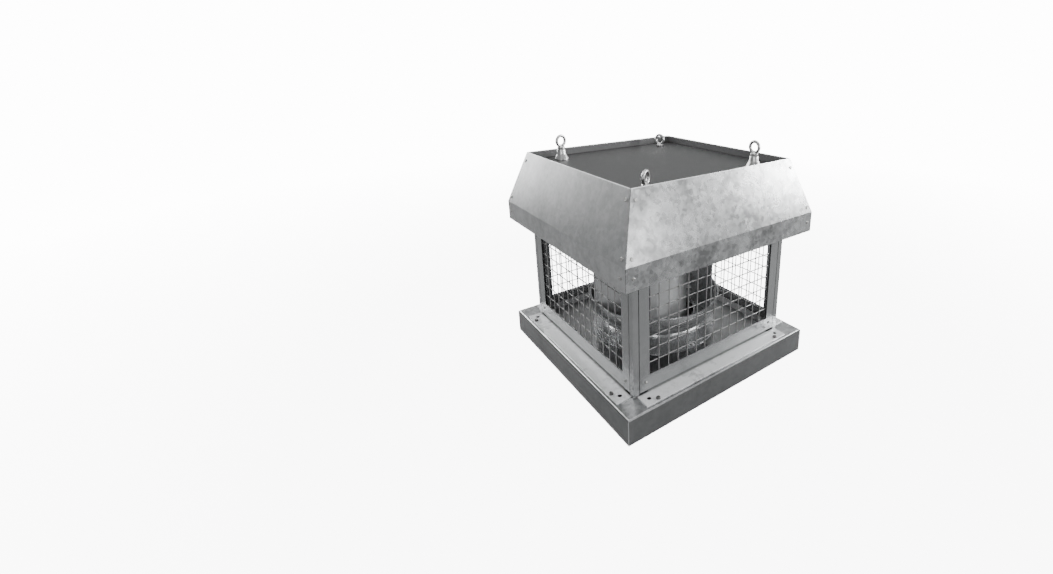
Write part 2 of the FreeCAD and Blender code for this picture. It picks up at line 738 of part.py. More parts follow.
def wheel_shroud():
    """Spun lower ring of the wheel: an eye over the nozzle's lip, a rounded bowl and a curled edge."""
    wall = S["nozzle_sheet"]
    eye = S["throat_radius"] + wall + S["wheel_gap"]
    outer = S["wheel_radius"] - S["shroud_curl"]
    floor, bowl, edge = S["shroud_floor"], S["shroud_bowl"], S["shroud_edge"]
    spun_body("wheel_shroud", [
        (eye, S["eye_bottom"]),
        (eye + wall, S["eye_bottom"]),
        (eye + wall, floor),
        (outer - bowl, floor, bowl, -1),
        (outer, floor + bowl),
        (outer, edge - wall),
        (S["wheel_radius"], edge - wall),
        (S["wheel_radius"], edge),
        (outer - wall, edge),
        (outer - wall, floor + bowl, bowl - wall, 1),
        (outer - bowl, floor + wall),
        (eye, floor + wall),
    ])


def wheel_blades():
    """Backward-curved blades, each a rolled sheet whose lower edge follows the shroud's bowl."""
    blades = []
    wall = S["nozzle_sheet"]
    outer = S["wheel_radius"] - S["shroud_curl"] - wall
    floor = S["shroud_floor"] + wall
    bowl = S["shroud_bowl"] - wall
    for number in range(BLADES):
        body = new_body(f"blade_{number + 1}", S["blade_start"].number + 360 / BLADES * number)
        parts.remove(body)
        plan = new_sketch(body, "plan", "XY_Plane", floor)
        tip_x = outer + 4
        root_x = S["blade_inner"] * cosine(S["blade_sweep"])
        root_y = S["blade_inner"] * sine(S["blade_sweep"])
        shift_x = S["blade_sheet"] * cosine(S["blade_sweep"])
        shift_y = S["blade_sheet"] * sine(S["blade_sweep"])
        outline(plan, [
            (tip_x, 0, BLADE_RADIUS, -1),
            (root_x, root_y),
            (root_x - shift_x, root_y - shift_y, BLADE_RADIUS, 1),
            (tip_x - shift_x, -shift_y),
        ])
        pad(body, plan, S["back_plate"] - floor)
        around = new_sketch(body, "around", "XZ_Plane")
        outline(around, [
            (S["blade_inner"] - 20, floor - 10),
            (outer + 20, floor - 10),
            (outer + 20, S["back_plate"] + 10),
            (outer, S["back_plate"] + 10),
            (outer, floor + bowl, bowl, 1),
            (outer - bowl, floor),
            (S["blade_inner"] - 20, floor),
        ])
        groove = body.newObject("PartDesign::Groove", "trim")
        groove.Profile = around
        groove.ReferenceAxis = (around, ["V_Axis"])
        groove.Angle = 360
        blades.append(body)
    group("wheel_blades", blades)


def wheel_back_plate():
    """Flat disc on top of the blades, which fits round the rotor can."""
    low, high = S["back_plate"], S["back_plate"] + S["back_sheet"]
    hole = S["rotor_radius"] + 0.3
    body = spun_body("wheel_back_plate", [
        (hole, low), (S["wheel_radius"], low), (S["wheel_radius"], high), (hole, high),
    ])
    ring_of_holes(body, S["rotor_screw_circle"], SCREW_HOLE, ROTOR_SCREWS)


# ---------------------------------------------------------------- motor

def rotor_can():
    """Outer rotor: a can that is open at the top, with a mounting flange for the wheel."""
    wall = S["rotor_wall"]
    flange = S["back_plate"] + S["back_sheet"]
    inside = S["rotor_radius"] - wall
    body = spun_body("rotor_can", [
        (S["shaft_radius"], S["rotor_low"]),
        (S["rotor_radius"], S["rotor_low"]),
        (S["rotor_radius"], flange),
        (S["rotor_flange"], flange),
        (S["rotor_flange"], flange + S["rotor_flange_sheet"]),
        (S["rotor_radius"], flange + S["rotor_flange_sheet"]),
        (S["rotor_radius"], S["rotor_high"]),
        (inside, S["rotor_high"]),
        (inside, S["rotor_low"] + wall * 1.6),
        (S["shaft_radius"], S["rotor_low"] + wall * 1.6),
    ])
    ring_of_holes(body, S["rotor_screw_circle"], SCREW_HOLE, ROTOR_SCREWS)


def motor_flange():
    """Fixed half of the motor's frame: a flange under the motor plate and the tube for the bearings."""
    top = S["cage_top"]
    low = top - S["flange_sheet"]
    tube_end = S["rotor_low"] + S["rotor_wall"] * 1.6 + 6
    seat = S["bearing_radius"]
    body = spun_body("motor_flange", [
        (seat, tube_end), (S["tube_radius"], tube_end), (S["tube_radius"], low),
        (S["flange_radius"], low), (S["flange_radius"], top), (seat, top),
    ])
    ring_of_holes(body, S["motor_bolt_circle"], MOTOR_BOLT + 0.2, MOTOR_BOLTS)


def bearing(name, low):
    """Ball bearing, as its closed outer form."""
    inner = S["shaft_radius"] + S["shaft_fit"]
    high = low + S["bearing_width"]
    spun_body(name, [(inner, low), (S["bearing_radius"], low), (S["bearing_radius"], high), (inner, high)])


def motor_core():
    """Shaft, bearings and the stator's winding."""
    low, high = S["rotor_low"] - 4, S["cage_top"] - 6
    spun_body("motor_shaft", [
        (0, low), (S["shaft_radius"] - 1, low), (S["shaft_radius"], low + 1), (S["shaft_radius"], high),
        (0, high),
    ])
    bearing("lower_bearing", S["rotor_low"] + 18)
    bearing("upper_bearing", S["rotor_high"] - 14)
    stack_low, stack_high = S["rotor_low"] + 22, S["rotor_high"] - 8
    edge = 8
    spun_body("stator_winding", [
        (S["tube_radius"], stack_low), (S["stator_radius"] - edge, stack_low),
        (S["stator_radius"], stack_low + edge), (S["stator_radius"], stack_high - edge),
        (S["stator_radius"] - edge, stack_high), (S["tube_radius"], stack_high),
    ])


def terminal_gear():
    """Terminal box with its lid and gland, and the run capacitor, on the motor plate in the hood."""
    floor = S["cage_top"] + S["plate_sheet"]
    body = new_body("terminal_box")
    base = new_sketch(body, "base", "XY_Plane", floor)
    x, y, wide, deep, tall, wall = 95, -45, 110, 90, 46, 2.5
    rectangle(base, x, y, x + wide, y + deep)
    pad(body, base, tall)
    room = new_sketch(body, "room", "XY_Plane", floor + wall)
    rectangle(room, x + wall, y + wall, x + wide - wall, y + deep - wall)
    cut_up(body, room, tall)
    entry = new_sketch(body, "entry", "XZ_Plane", 0)
    circle(entry, x + wide / 2, floor + tall / 2, 8.3)
    hole = body.newObject("PartDesign::Pocket", "entry_hole")
    hole.Profile = entry
    hole.Length = 60
    hole.Reversed = True
    lid = new_body("terminal_box_lid")
    cover = new_sketch(lid, "cover", "XY_Plane", floor + tall)
    rectangle(cover, x, y, x + wide, y + deep)
    pad(lid, cover, 6)
    upright = Rotation(Vector(1, 0, 0), 90)
    stem = primitive("Cylinder", "gland_stem", Radius=8, Height=14)
    collar = primitive("Prism", "gland_hex", Polygon=6, Circumradius=12, Height=7)
    cap = primitive("Cone", "gland_cap", Radius1=10.5, Radius2=8, Height=12)
    centre_x, centre_z = x + wide / 2, floor + tall / 2
    place(stem, centre_x, y + wall + 4, centre_z, upright)
    place(collar, centre_x, y, centre_z, upright)
    place(cap, centre_x, y - 7, centre_z, upright)
    solid = doc.addObject("Part::MultiFuse", "gland_solid")
    solid.Shapes = [stem, collar, cap]
    bore = primitive("Cylinder", "gland_bore", Radius=4.5, Height=50)
    place(bore, centre_x, y + 15, centre_z, upright)
    gland = doc.addObject("Part::Cut", "cable_gland")
    gland.Base = solid
    gland.Tool = bore
    gland.Label = "cable_gland"
    parts.append(gland)
    can = primitive("Cylinder", "capacitor_can", Radius=17.5, Height=72)
    place(can, -150, 36, floor + 17.5, upright)
    can.Label = "run_capacitor"
    parts.append(can)


# ---------------------------------------------------------------- fasteners

def screw_head(name, position, direction):
    """Hexagon head of a sheet-metal screw, with its seat at a point and its shank's way along a direction."""
    return hexagon_head(name, SCREW_HEAD_RADIUS, SCREW_HEAD_HEIGHT, position, direction)


def hexagon_head(name, radius, height, position, direction):
    """Six-sided head that stands on its seat, away from the direction that its shank would take."""
    head = primitive("Prism", name, Polygon=6, Circumradius=radius, Height=height)
    head.Placement = Placement(Vector(*position), Rotation(Vector(0, 0, 1), -Vector(*direction)))
    return head


def bolt(name, head_radius, head_height, shank_radius, shank_length, position, direction):
    """Hexagon bolt with its head's seat at a point and its shank along a direction."""
    head = hexagon_head(name + "_head", head_radius, head_height, position, direction)
    shank = primitive("Cylinder", name + "_shank", Radius=shank_radius, Height=shank_length)
    turn = Rotation(Vector(0, 0, 1), Vector(*direction))
    shank.Placement = Placement(Vector(*position), turn)
    made = doc.addObject("Part::MultiFuse", name)
    made.Shapes = [head, shank]
    return made


def four_ways(x, y, z, dx, dy, dz):
    """The same place and direction, turned about the fan's axis by quarter turns."""
    for quarter in range(4):
        cos, sin = (1, 0, -1, 0)[quarter], (0, 1, 0, -1)[quarter]
        place_now = (x * cos - y * sin, x * sin + y * cos, z)
        yield place_now, (dx * cos - dy * sin, dx * sin + dy * cos, dz)


def fasteners():
    """Groups of screws and bolts, one group for each place they are used."""
    number = {name: size.number for name, size in S.items()}
    guard, hood, skirt, sills, brackets = [], [], [], [], []
    for side in (-1, 1):
        for height in (number["guard_screw_low"], number["guard_screw_high"]):
            for spot in four_ways(number["guard_screw_along"] * side, -number["cage_half"], height, 0, 1, 0):
                guard.append(screw_head(f"guard_screw_{len(guard)}", *spot))
        seat = number["base_height"] + number["base_sheet"]
        for spot in four_ways(number["sill_bolt_along"] * side, -number["sill_bolt_out"], seat, 0, 0, -1):
            sills.append(bolt(f"sill_bolt_{len(sills)}", 5.8, 4, 3, 10, *spot))
        spot_x = number["skirt_screw_along"] * side
        for spot in four_ways(spot_x, -number["hood_half"], number["skirt_screw_height"], 0, 1, 0):
            skirt.append(screw_head(f"skirt_screw_{len(skirt)}", *spot))
        rise = number["rim_height"] - number["fold_height"]
        run = number["hood_half"] - number["rim_half"]
        for share in HOOD_SCREW_SHARES:
            out = number["hood_half"] - run * share
            spot_x = (out - HOOD_SCREW_INSET) * side
            for spot in four_ways(spot_x, -out, number["fold_height"] + rise * share, 0, rise, -run):
                hood.append(screw_head(f"hood_screw_{len(hood)}", *spot))
    top = number["cage_top"] + number["plate_sheet"] + number["bracket_sheet"]
    for spot in four_ways(-BRACKET_BOLT, -BRACKET_BOLT, top, 0, 0, -1):
        brackets.append(bolt(f"bracket_bolt_{len(brackets)}", 5.8, 4, 3, 14, *spot))
    group("guard_screws", guard)
    group("hood_screws", hood)
    group("skirt_screws", skirt)
    group("sill_bolts", sills)
    group("bracket_bolts", brackets)
    nozzle_seat = number["base_height"] + number["nozzle_sheet"]
    group("nozzle_screws", [
        screw_head(f"nozzle_screw_{index}", spot, (0, 0, -1))
        for index, spot in enumerate(around(NOZZLE_SCREWS, number["nozzle_screw_circle"], nozzle_seat))])
    rotor_spots = around(ROTOR_SCREWS, number["rotor_screw_circle"], number["back_plate"])
    group("rotor_screws", [
        screw_head(f"rotor_screw_{index}", spot, (0, 0, 1)) for index, spot in enumerate(rotor_spots)])
    motor_seat = number["cage_top"] + number["plate_sheet"]
    group("motor_bolts", [
        bolt(f"motor_bolt_{index}", 7.5, 5.3, MOTOR_BOLT, 10, spot, (0, 0, -1))
        for index, spot in enumerate(around(MOTOR_BOLTS, number["motor_bolt_circle"], motor_seat))])


def around(count, radius, height):
    """Equally spaced points on a level circle about the fan's axis."""
    for index in range(count):
        angle = 2 * math.pi * index / count
        yield radius * math.cos(angle), radius * math.sin(angle), height


# ---------------------------------------------------------------- build, check and write

QUARTERS = [(1, 1), (-1, 1), (-1, -1), (1, -1)]
SCREW_HEAD_RADIUS = 4.2 # across the corners of a sheet-metal screw's head, radius
SCREW_HEAD_HEIGHT = 2.2 # height of that head
SCREW_HOLE = 2.2        # clearance hole of an M4 screw, radius
BOLT_HOLE = 3.3         # clearance hole of an M6 bolt, radius
MOTOR_BOLT = 4          # M8 motor bolt, radius
NUT_RADIUS = 7.5        # across the corners of an M8 nut, radius
CABLE_HOLE = 12         # hole in the motor plate for the motor's lead, radius
BRACKET_BOLT = 226      # bracket bolts, distance from the centre along X and Y
RAISED_EYES = (1, 3)    # the lifting eyes that stand on feet, with 0 at the front left corner
BLADE_RADIUS = 150      # radius that a blade is rolled to
BLADES = 6
MESH_COLUMNS = 13
MESH_ROWS = 8
NOZZLE_SCREWS = 8
ROTOR_SCREWS = 6
MOTOR_BOLTS = 4
HOOD_SCREW_SHARES = (0.1, 0.84)     # hood screws, as shares of the slope's height
HOOD_SCREW_INSET = 14               # hood screws, distance in from the hip

base_tray()
for side, angle in SIDES.items():
    sill("sill_" + side, angle)
    guard_frame("guard_frame_" + side, angle)
    guard_mesh("guard_mesh_" + side, angle)
    hood_panel("hood_panel_" + side, angle)
for corner, angle in CORNERS.items():
    corner_post("corner_post_" + corner, angle)
    hip_strip("hip_strip_" + corner, angle)
    hood_bracket("hood_bracket_" + corner, angle)
top_deck()
motor_plate()
lifting_rods()
eye_turns = (28.7, 93, -71.1, 13)
for number, (corner, (x, y), turn) in enumerate(zip(CORNERS, eye_places(), eye_turns)):
    lifting_eye("lifting_eye_" + corner, x, y, number in RAISED_EYES, turn)
eye_feet()
inlet_nozzle()
wheel_shroud()
wheel_blades()
wheel_back_plate()
rotor_can()
motor_flange()
motor_core()
terminal_gear()
fasteners()
doc.recompute()


def check_and_write():
    """Stop on any failed object or bad shape, then write every sub-part."""
    for made in doc.Objects:
        if {"Invalid", "Error"} & set(made.State):
            raise SystemExit(f"{made.Name} ({made.Label}) failed: {made.State}")
    os.makedirs("parts", exist_ok=True)
    for made in parts:
        shape = made.Shape
        if shape.isNull() or not shape.isValid() or shape.Volume <= 0:
            raise SystemExit(f"{made.Label} has no valid solid")
        shape.exportStep(f"parts/{made.Label}.step")
        print(f"{made.Label}: {len(shape.Solids)} solid(s), {shape.Volume / 1000:.2f} cm3")
    print(len(parts), "sub-parts")


check_and_write()
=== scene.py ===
# %% [markdown]
# # A square roof extract fan
# The fan stands on a roof curb: a folded base tray, a cage of four wire guards, a sloped hood and, in
# the middle, a wheel on its own motor. The CAD model already has every piece in its place. Here each
# surface gets its real finish, and the pieces that are round or fine get a smoother shape.

# %% Load the CAD model
import math

import bpy
import numpy as np
from mathutils import Matrix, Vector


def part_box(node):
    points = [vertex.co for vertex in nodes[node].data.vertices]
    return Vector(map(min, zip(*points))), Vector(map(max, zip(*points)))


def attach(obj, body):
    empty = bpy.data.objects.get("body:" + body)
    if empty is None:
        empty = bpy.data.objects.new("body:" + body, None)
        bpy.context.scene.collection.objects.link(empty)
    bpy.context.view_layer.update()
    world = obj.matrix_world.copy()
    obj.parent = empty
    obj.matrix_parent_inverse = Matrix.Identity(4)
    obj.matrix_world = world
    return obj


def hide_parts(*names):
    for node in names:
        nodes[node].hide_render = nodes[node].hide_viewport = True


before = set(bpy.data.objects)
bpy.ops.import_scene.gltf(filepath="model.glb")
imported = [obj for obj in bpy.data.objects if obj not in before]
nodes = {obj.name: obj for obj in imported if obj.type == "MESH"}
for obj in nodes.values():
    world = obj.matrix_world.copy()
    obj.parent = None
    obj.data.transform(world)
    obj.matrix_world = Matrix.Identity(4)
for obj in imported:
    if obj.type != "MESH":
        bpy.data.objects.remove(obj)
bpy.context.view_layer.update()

STILL, TURNING = "fan_frame", "fan_wheel"

# %% [markdown]
# ## Sizes, read from the CAD nodes
# The finer pieces made below have to be the size of the CAD pieces that they stand for. So the sizes
# are measured on those nodes, in millimetres, and only shapes that a box can't tell are given.

# %% Measured sizes
X, Y, Z = 0, 1, 2
LOWEST, HIGHEST = 0, 1


def reach(node, axis, end=HIGHEST):
    """Where a CAD node ends along an axis, in millimetres to two decimals."""
    return round(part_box(node)[end][axis] * 1000, 2)


TRAY_HALF, TRAY_TOP = reach("base_tray", X), reach("base_tray", Z)
CAGE_HALF = reach("corner_post_front_right", X)
HOOD_HALF, HOOD_TOP = reach("hood_panel_right", X), reach("hood_panel_right", Z)
DECK_TOP = reach("eye_feet", Z, LOWEST)
PLATE_TOP = reach("motor_plate", Z)
print(f"tray {2 * TRAY_HALF} wide, {TRAY_TOP} high; deck at {DECK_TOP}, hood's rim at {HOOD_TOP}")

# %% [markdown]
# ## The camera first
# The fan is seen from above its front left corner, through a wide lens from about one and a half
# metres away. The two angles below turn and tilt the camera, and the lens shift puts the fan beside
# the middle of the frame without turning the camera towards it.

# %% Camera
AZIMUTH, ELEVATION = math.radians(-37.686), math.radians(16.796)
DISTANCE, SIDE, RISE = 1.43457, 0.00423, 0.40479

backward = np.array([math.sin(AZIMUTH) * math.cos(ELEVATION),
                     -math.cos(AZIMUTH) * math.cos(ELEVATION), math.sin(ELEVATION)])
right = np.array([math.cos(AZIMUTH), math.sin(AZIMUTH), 0.0])
up = np.cross(backward, right)
camera = bpy.data.objects.new("camera", bpy.data.cameras.new("camera"))
bpy.context.scene.collection.objects.link(camera)
matrix = np.eye(4)
matrix[:3, :3] = np.stack([right, up, backward], axis=1)
matrix[:3, 3] = DISTANCE * backward + SIDE * right + RISE * up
camera.matrix_world = Matrix(matrix)
camera.data.sensor_width = 36.0
camera.data.lens = 16.205
camera.data.shift_x = -0.1226
camera.data.shift_y = -0.0779
bpy.context.scene.camera = camera
print("camera at", np.round(matrix[:3, 3], 3))

# %% [markdown]
# ## A small language for finishes
# A finish is a tree of nodes. `Value` lets two sockets be added or multiplied as plain numbers, so a
# finish reads like a formula.

# %% Value
class Value:
    """One output socket that can be used in arithmetic: every operator adds one Math node."""

    def __init__(self, finish, socket):
        self.finish, self.socket = finish, socket

    def math(self, operation, first, second=0.0):
        """The result of one Math node."""
        return self.finish.node("Math", {"operation": operation}, {0: first, 1: second})

    def __add__(self, other):
        return self.math("ADD", self, other)

    def __sub__(self, other):
        return self.math("SUBTRACT", self, other)

    def __mul__(self, other):
        return self.math("MULTIPLY", self, other)

    def __rsub__(self, other):
        return self.math("SUBTRACT", other, self)

    def __pow__(self, power):
        return self.math("POWER", self, power)

    def __abs__(self):
        return self.math("ABSOLUTE", self)

    __radd__ = __add__
    __rmul__ = __mul__

    def larger(self, other):
        """The larger of two values."""
        return self.math("MAXIMUM", self, other)

    def clipped(self):
        """The value, held between 0 and 1."""
        return self.finish.node("Clamp", {}, {"Value": self})

    def past(self, start, width=0.001):
        """0 up to start, 1 from start + width on, and a straight ramp between."""
        return ((self - start) * (1 / width)).clipped()


# %% [markdown]
# `Finish` holds the tree of one material, or of the world. Its method `node` adds any node, and the
# other methods are short names for what the finishes below need often.

# %% Finish
class Finish:
    """The node tree of a material or a world, built one call at a time."""

    def __init__(self, owner):
        self.owner = owner
        owner.use_nodes = True
        self.tree = owner.node_tree
        self.tree.nodes.clear()

    def node(self, kind, settings, inputs, output=0):
        """Add a node of a kind: its settings first, then the values or links of its sockets."""
        made = self.tree.nodes.new("ShaderNode" + kind)
        for key, value in settings.items():
            setattr(made, key, value)
        for key, value in inputs.items():
            if isinstance(value, Value):
                self.tree.links.new(value.socket, made.inputs[key])
            else:
                made.inputs[key].default_value = value
        return Value(self, made.outputs[output]) if made.outputs else None

    def place(self):
        """Position on the object, in metres."""
        return self.node("TexCoord", {}, {}, "Object")

    def along(self, place, axis):
        """One coordinate of a position."""
        return self.node("SeparateXYZ", {}, {0: place}, axis)

    def from_axis(self, place):
        """Distance out from the fan's axis, measured squarely: the larger of |x| and |y|."""
        return abs(self.along(place, X)).larger(abs(self.along(place, Y)))

    def noise(self, place, scale, detail, output=0, roughness=0.5):
        """Smooth noise with so many waves to the metre; detail adds finer and finer waves."""
        sockets = {"Vector": place, "Scale": scale, "Detail": detail, "Roughness": roughness}
        return self.node("TexNoise", {}, sockets, output)

    def blend(self, factor, first, second):
        """Colour that runs from first to second as factor runs from 0 to 1."""
        return self.node("Mix", {"data_type": "RGBA"}, {0: factor, 6: first, 7: second}, 2)

    def bump(self, height, strength, distance):
        """Normals as if the surface rose by height times distance."""
        return self.node("Bump", {}, {"Height": height, "Strength": strength, "Distance": distance})

    def close(self, **inputs):
        """Finish a material with a Principled shader, and return it."""
        shader = self.node("BsdfPrincipled", {}, {key.replace("_", " "): v for key, v in inputs.items()})
        self.node("OutputMaterial", {}, {"Surface": shader})
        return self.owner


def new_finish(name):
    """An empty material, ready for its nodes."""
    return Finish(bpy.data.materials.new(name))


def grey(level, tint=(0.985, 1.0, 1.01)):
    """A colour of one brightness with a faint cool tint."""
    return tuple(level * part for part in tint) + (1.0,)


# %% [markdown]
# ## Hot-dip galvanised sheet
# Molten zinc freezes on the steel as crystals a few millimetres wide, called spangle. Each crystal
# reflects a little more or less light than its neighbours, and the bath and the rollers leave cloudy
# patches some centimetres wide. So the colour is cells plus clouds, and both also change the
# roughness a little. A bump of long waves gives the slight unevenness that thin sheet always has.
#
# Two things depend on where the sheet is, and both are painted light. The level sheet round the cage
# and the top of its folded edge get a pale, mottled painted sheen, which draws a painted highlight
# line along that edge, while the sheet under the cage keeps the darker zinc as painted shade. The
# tray's upright corners get a painted highlight.

# %% Galvanised sheet
# A crystal's width and how far its outline is bent, in metres.
CRYSTAL, WARP = 0.009, (0.008, 0.008, 0.008)
# Waves of each noise to the metre, and how much each counts in brightness or roughness.
DRIFT, CLOUD, PATCH, GRAIN, WAVE = 55.0, 8.0, 42.0, 700.0, 7.0
CLOUD_SHARE, GRAIN_SHARE, SMOOTHED, CRYSTAL_SKIN = 1.7, 0.12, 0.04, 0.08
WAVE_STRENGTH, WAVE_HEIGHT = 0.6, 0.004
# The tray's edges in millimetres, the width over which the painted sheen begins in metres, and its grey.
EDGE_DEPTH, CORNER_HIGHLIGHT_WIDTH = 1.3, 1.5
SHEEN_START, PAINTED_SHEEN_GREY = 0.005, 0.85


def galvanised(name, dark, light, roughness, spangle, clouds, wave=0.35, metallic=1.0, painted_sheen=0.0, rim=None):
    """Zinc: brightness = clouds + patches + crystals + grain, and brighter zinc is less rough.

    painted_sheen is how strongly the pale painted sheen covers, and rim is a height in metres
    with a grey painted above it.
    """
    zinc = new_finish(name)
    place = zinc.place()
    drift = zinc.noise(place, DRIFT, 2.0, "Color")
    warped = zinc.node("VectorMath", {"operation": "MULTIPLY_ADD"}, {0: drift, 1: WARP, 2: place})
    cells = zinc.node("TexVoronoi", {}, {"Vector": warped, "Scale": 1.0 / CRYSTAL}, "Color")
    crystal = zinc.node("SeparateColor", {}, {"Color": cells}, 0) - 0.5
    cloud = zinc.noise(place, CLOUD, 4.0, roughness=0.55) - 0.5
    patch = zinc.noise(warped, PATCH, 3.0) - 0.5
    grain = zinc.noise(place, GRAIN, 2.0) - 0.5
    shade = cloud * (CLOUD_SHARE * clouds) + patch * clouds + crystal * spangle + grain * GRAIN_SHARE + 0.5
    level = shade.clipped()
    colour = zinc.blend(level, grey(dark), grey(light))
    above = zinc.along(place, Z)
    # A grey painted above the height rim[0]: a painted highlight on the hood's edge, a painted shade band on
    # the deck's rim.
    if rim:
        colour = zinc.blend(above.past(rim[0]), colour, grey(rim[1]))
    if painted_sheen:
        # Painted light: a pale sheen outside the cage, painted shade under it, and a painted highlight line
        # where the sheen reaches 1.3 mm down the folded top edge.
        outside = zinc.from_axis(place).past(CAGE_HALF / 1000, SHEEN_START)
        level_sheet_and_edge = above.past((TRAY_TOP - EDGE_DEPTH) / 1000)
        corner_sum = abs(zinc.along(place, X)) + abs(zinc.along(place, Y))
        # Painted highlight on the tray's upright corners.
        corner = corner_sum.past((2 * TRAY_HALF - CORNER_HIGHLIGHT_WIDTH) / 1000)
        painted_sheen_cover = outside * level_sheet_and_edge * (shade * painted_sheen) + corner
        colour = zinc.blend(painted_sheen_cover.clipped(), colour, grey(PAINTED_SHEEN_GREY))
    rough = (roughness + 0.03) - level * SMOOTHED + crystal * (spangle * CRYSTAL_SKIN)
    bump = zinc.bump(zinc.noise(place, WAVE, 1.0) * wave, WAVE_STRENGTH, WAVE_HEIGHT)
    return zinc.close(Base_Color=colour, Metallic=metallic, Roughness=rough, Normal=bump)


# %% [markdown]
# The front and right hood panels have a lively spangle, and the other two are calmer. Sheet inside
# the fan is paler than the tray and the sills. The recessed deck is dull, and it is painted very dark as
# painted shade and a painted dark reflection. The hood's top edge is painted pale as a painted
# highlight line, and the deck's upturned rim is painted a little less dark than the deck.

# %% Zinc finishes
# Painted highlight: grey 0.90 on the top 1.5 mm of the hood's edge.
HOOD_PAINTED_HIGHLIGHT = ((HOOD_TOP - 1.5) / 1000, 0.90)
# Painted shade, a little lighter on the deck's upturned rim, from 1 mm above the deck.
DECK_RIM_PAINTED_SHADE = ((DECK_TOP + 1.0) / 1000, 0.14)

hood_zinc = galvanised("hood_zinc", 0.24, 0.64, 0.27, spangle=0.42, clouds=1.5, rim=HOOD_PAINTED_HIGHLIGHT)
calm_zinc = galvanised("calm_zinc", 0.34, 0.54, 0.34, spangle=0.30, clouds=0.8, rim=HOOD_PAINTED_HIGHLIGHT)
# The tray and the sills carry the painted sheen: pale outside the cage, darker under it as painted shade.
base_zinc = galvanised("base_zinc", 0.20, 0.31, 0.30, spangle=0.20, clouds=0.6, painted_sheen=1.1)
sill_zinc = galvanised("sill_zinc", 0.26, 0.42, 0.34, spangle=0.20, clouds=0.8, metallic=0.3, painted_sheen=2.5)
cage_zinc = galvanised("cage_zinc", 0.27, 0.38, 0.24, spangle=0.08, clouds=0.5, metallic=0.75)
# Painted shade and painted dark reflection: the deck's very dark grey.
painted_dark_deck = galvanised("painted_dark_deck", 0.045, 0.065, 0.30, spangle=0.03, clouds=0.4, wave=0.15, metallic=0.2,
                       rim=DECK_RIM_PAINTED_SHADE)
inner_zinc = galvanised("inner_zinc", 0.48, 0.66, 0.36, spangle=0.25, clouds=0.6, metallic=0.7)
print("zinc finishes:", len(bpy.data.materials))

# %% [markdown]
# ## Plain metals and plastics
# Cast aluminium has a sandy grain, ground steel is smooth, and screws are bright zinc plate. Each is
# one short variation on noise: fine noise for the grain and wide noise for stains.

# %% Plain metal
SANDY = 0.0006


def metal(name, dark, light, roughness, scale, grain, tint=(1.0, 1.0, 1.0)):
    """Plain metal: two tones mixed by fine noise, with the same noise as a shallow bump."""
    made = new_finish(name)
    place = made.place()
    fine = made.noise(place, scale, 4.0)
    wide = made.noise(place, 30.0, 2.0)
    level = ((fine - 0.5) * 1.4 + (wide - 0.5) * 0.8 + 0.5).clipped()
    colour = made.blend(level, grey(dark, tint), grey(light, tint))
    return made.close(Base_Color=colour, Metallic=1.0, Roughness=level * -0.12 + (roughness + 0.06),
                      Normal=made.bump(fine, grain, SANDY))


# %% [markdown]
# The wheel's shroud and the nozzle are spun on a lathe, and the roller leaves fine rings. A noise that
# is read at (radius, height) only, and not at the angle, makes such rings by itself.

# %% Spun metal
RINGS = 420.0


def spun(name, dark, light, roughness):
    """Spun sheet: rings about the fan's axis, from a noise of radius = (x^2 + y^2)^0.5 and height."""
    made = new_finish(name)
    place = made.place()
    x, y, z = (made.along(place, axis) for axis in (X, Y, Z))
    radius = (x * x + y * y) ** 0.5
    rings = made.noise(made.node("CombineXYZ", {}, {0: radius, 1: z, 2: 0.0}), RINGS, 3.0)
    cloud = made.noise(place, 22.0, 3.0)
    level = ((rings - 0.5) * 0.9 + (cloud - 0.5) + 0.5).clipped()
    colour = made.blend(level, grey(dark), grey(light))
    return made.close(Base_Color=colour, Metallic=0.75, Roughness=level * -0.10 + (roughness + 0.05),
                      Normal=made.bump(rings, 0.25, 0.0005))


# %% [markdown]
# Moulded plastic is never quite smooth: the mould gives it a fine leathery skin, and dust settles on
# it in patches, which makes it paler and rougher there. The winding's varnish is done the same way.

# %% Plastic and varnish
def moulded(name, colour, roughness, grain=900.0):
    """Moulded plastic or varnish: one colour with a fine leathery bump and faint dust."""
    made = new_finish(name)
    place = made.place()
    dust = made.noise(place, 25.0, 4.0)
    paler = tuple(min(1.0, part * 1.25 + 0.02) for part in colour[:3]) + (1.0,)
    tone = made.blend(((dust - 0.45) * 2.0).clipped(), colour, paler)
    return made.close(Base_Color=tone, Roughness=dust * 0.15 + roughness,
                      Normal=made.bump(made.noise(place, grain, 3.0), 0.3, 0.0004))


# %% Metals and plastics
WARM = (1.0, 1.0, 0.98)

spun_zinc = spun("spun_zinc", 0.40, 0.62, 0.24)
wire_zinc = metal("wire_zinc", 0.30, 0.46, 0.42, 900.0, 0.3)
screw_zinc = metal("screw_zinc", 0.34, 0.54, 0.38, 600.0, 0.2, WARM)
bolt_zinc = metal("bolt_zinc", 0.12, 0.24, 0.46, 600.0, 0.2, WARM)
eye_zinc = metal("eye_zinc", 0.40, 0.66, 0.30, 350.0, 0.5)
cast_metal = metal("cast_aluminium", 0.36, 0.50, 0.48, 1200.0, 0.8)
ground_metal = metal("ground_steel", 0.50, 0.60, 0.18, 1500.0, 0.1)
copper_winding = moulded("copper_winding", (0.33, 0.10, 0.045, 1.0), 0.35, 260.0)
box_plastic = moulded("box_plastic", (0.20, 0.205, 0.21, 1.0), 0.45)
pale_plastic = moulded("pale_plastic", (0.72, 0.72, 0.69, 1.0), 0.40)
print("finishes:", len(bpy.data.materials))

# %% [markdown]
# ## Which node gets which finish
# Every node of the CAD model is found here by the start or the end of its name, and the first row
# that fits is taken.

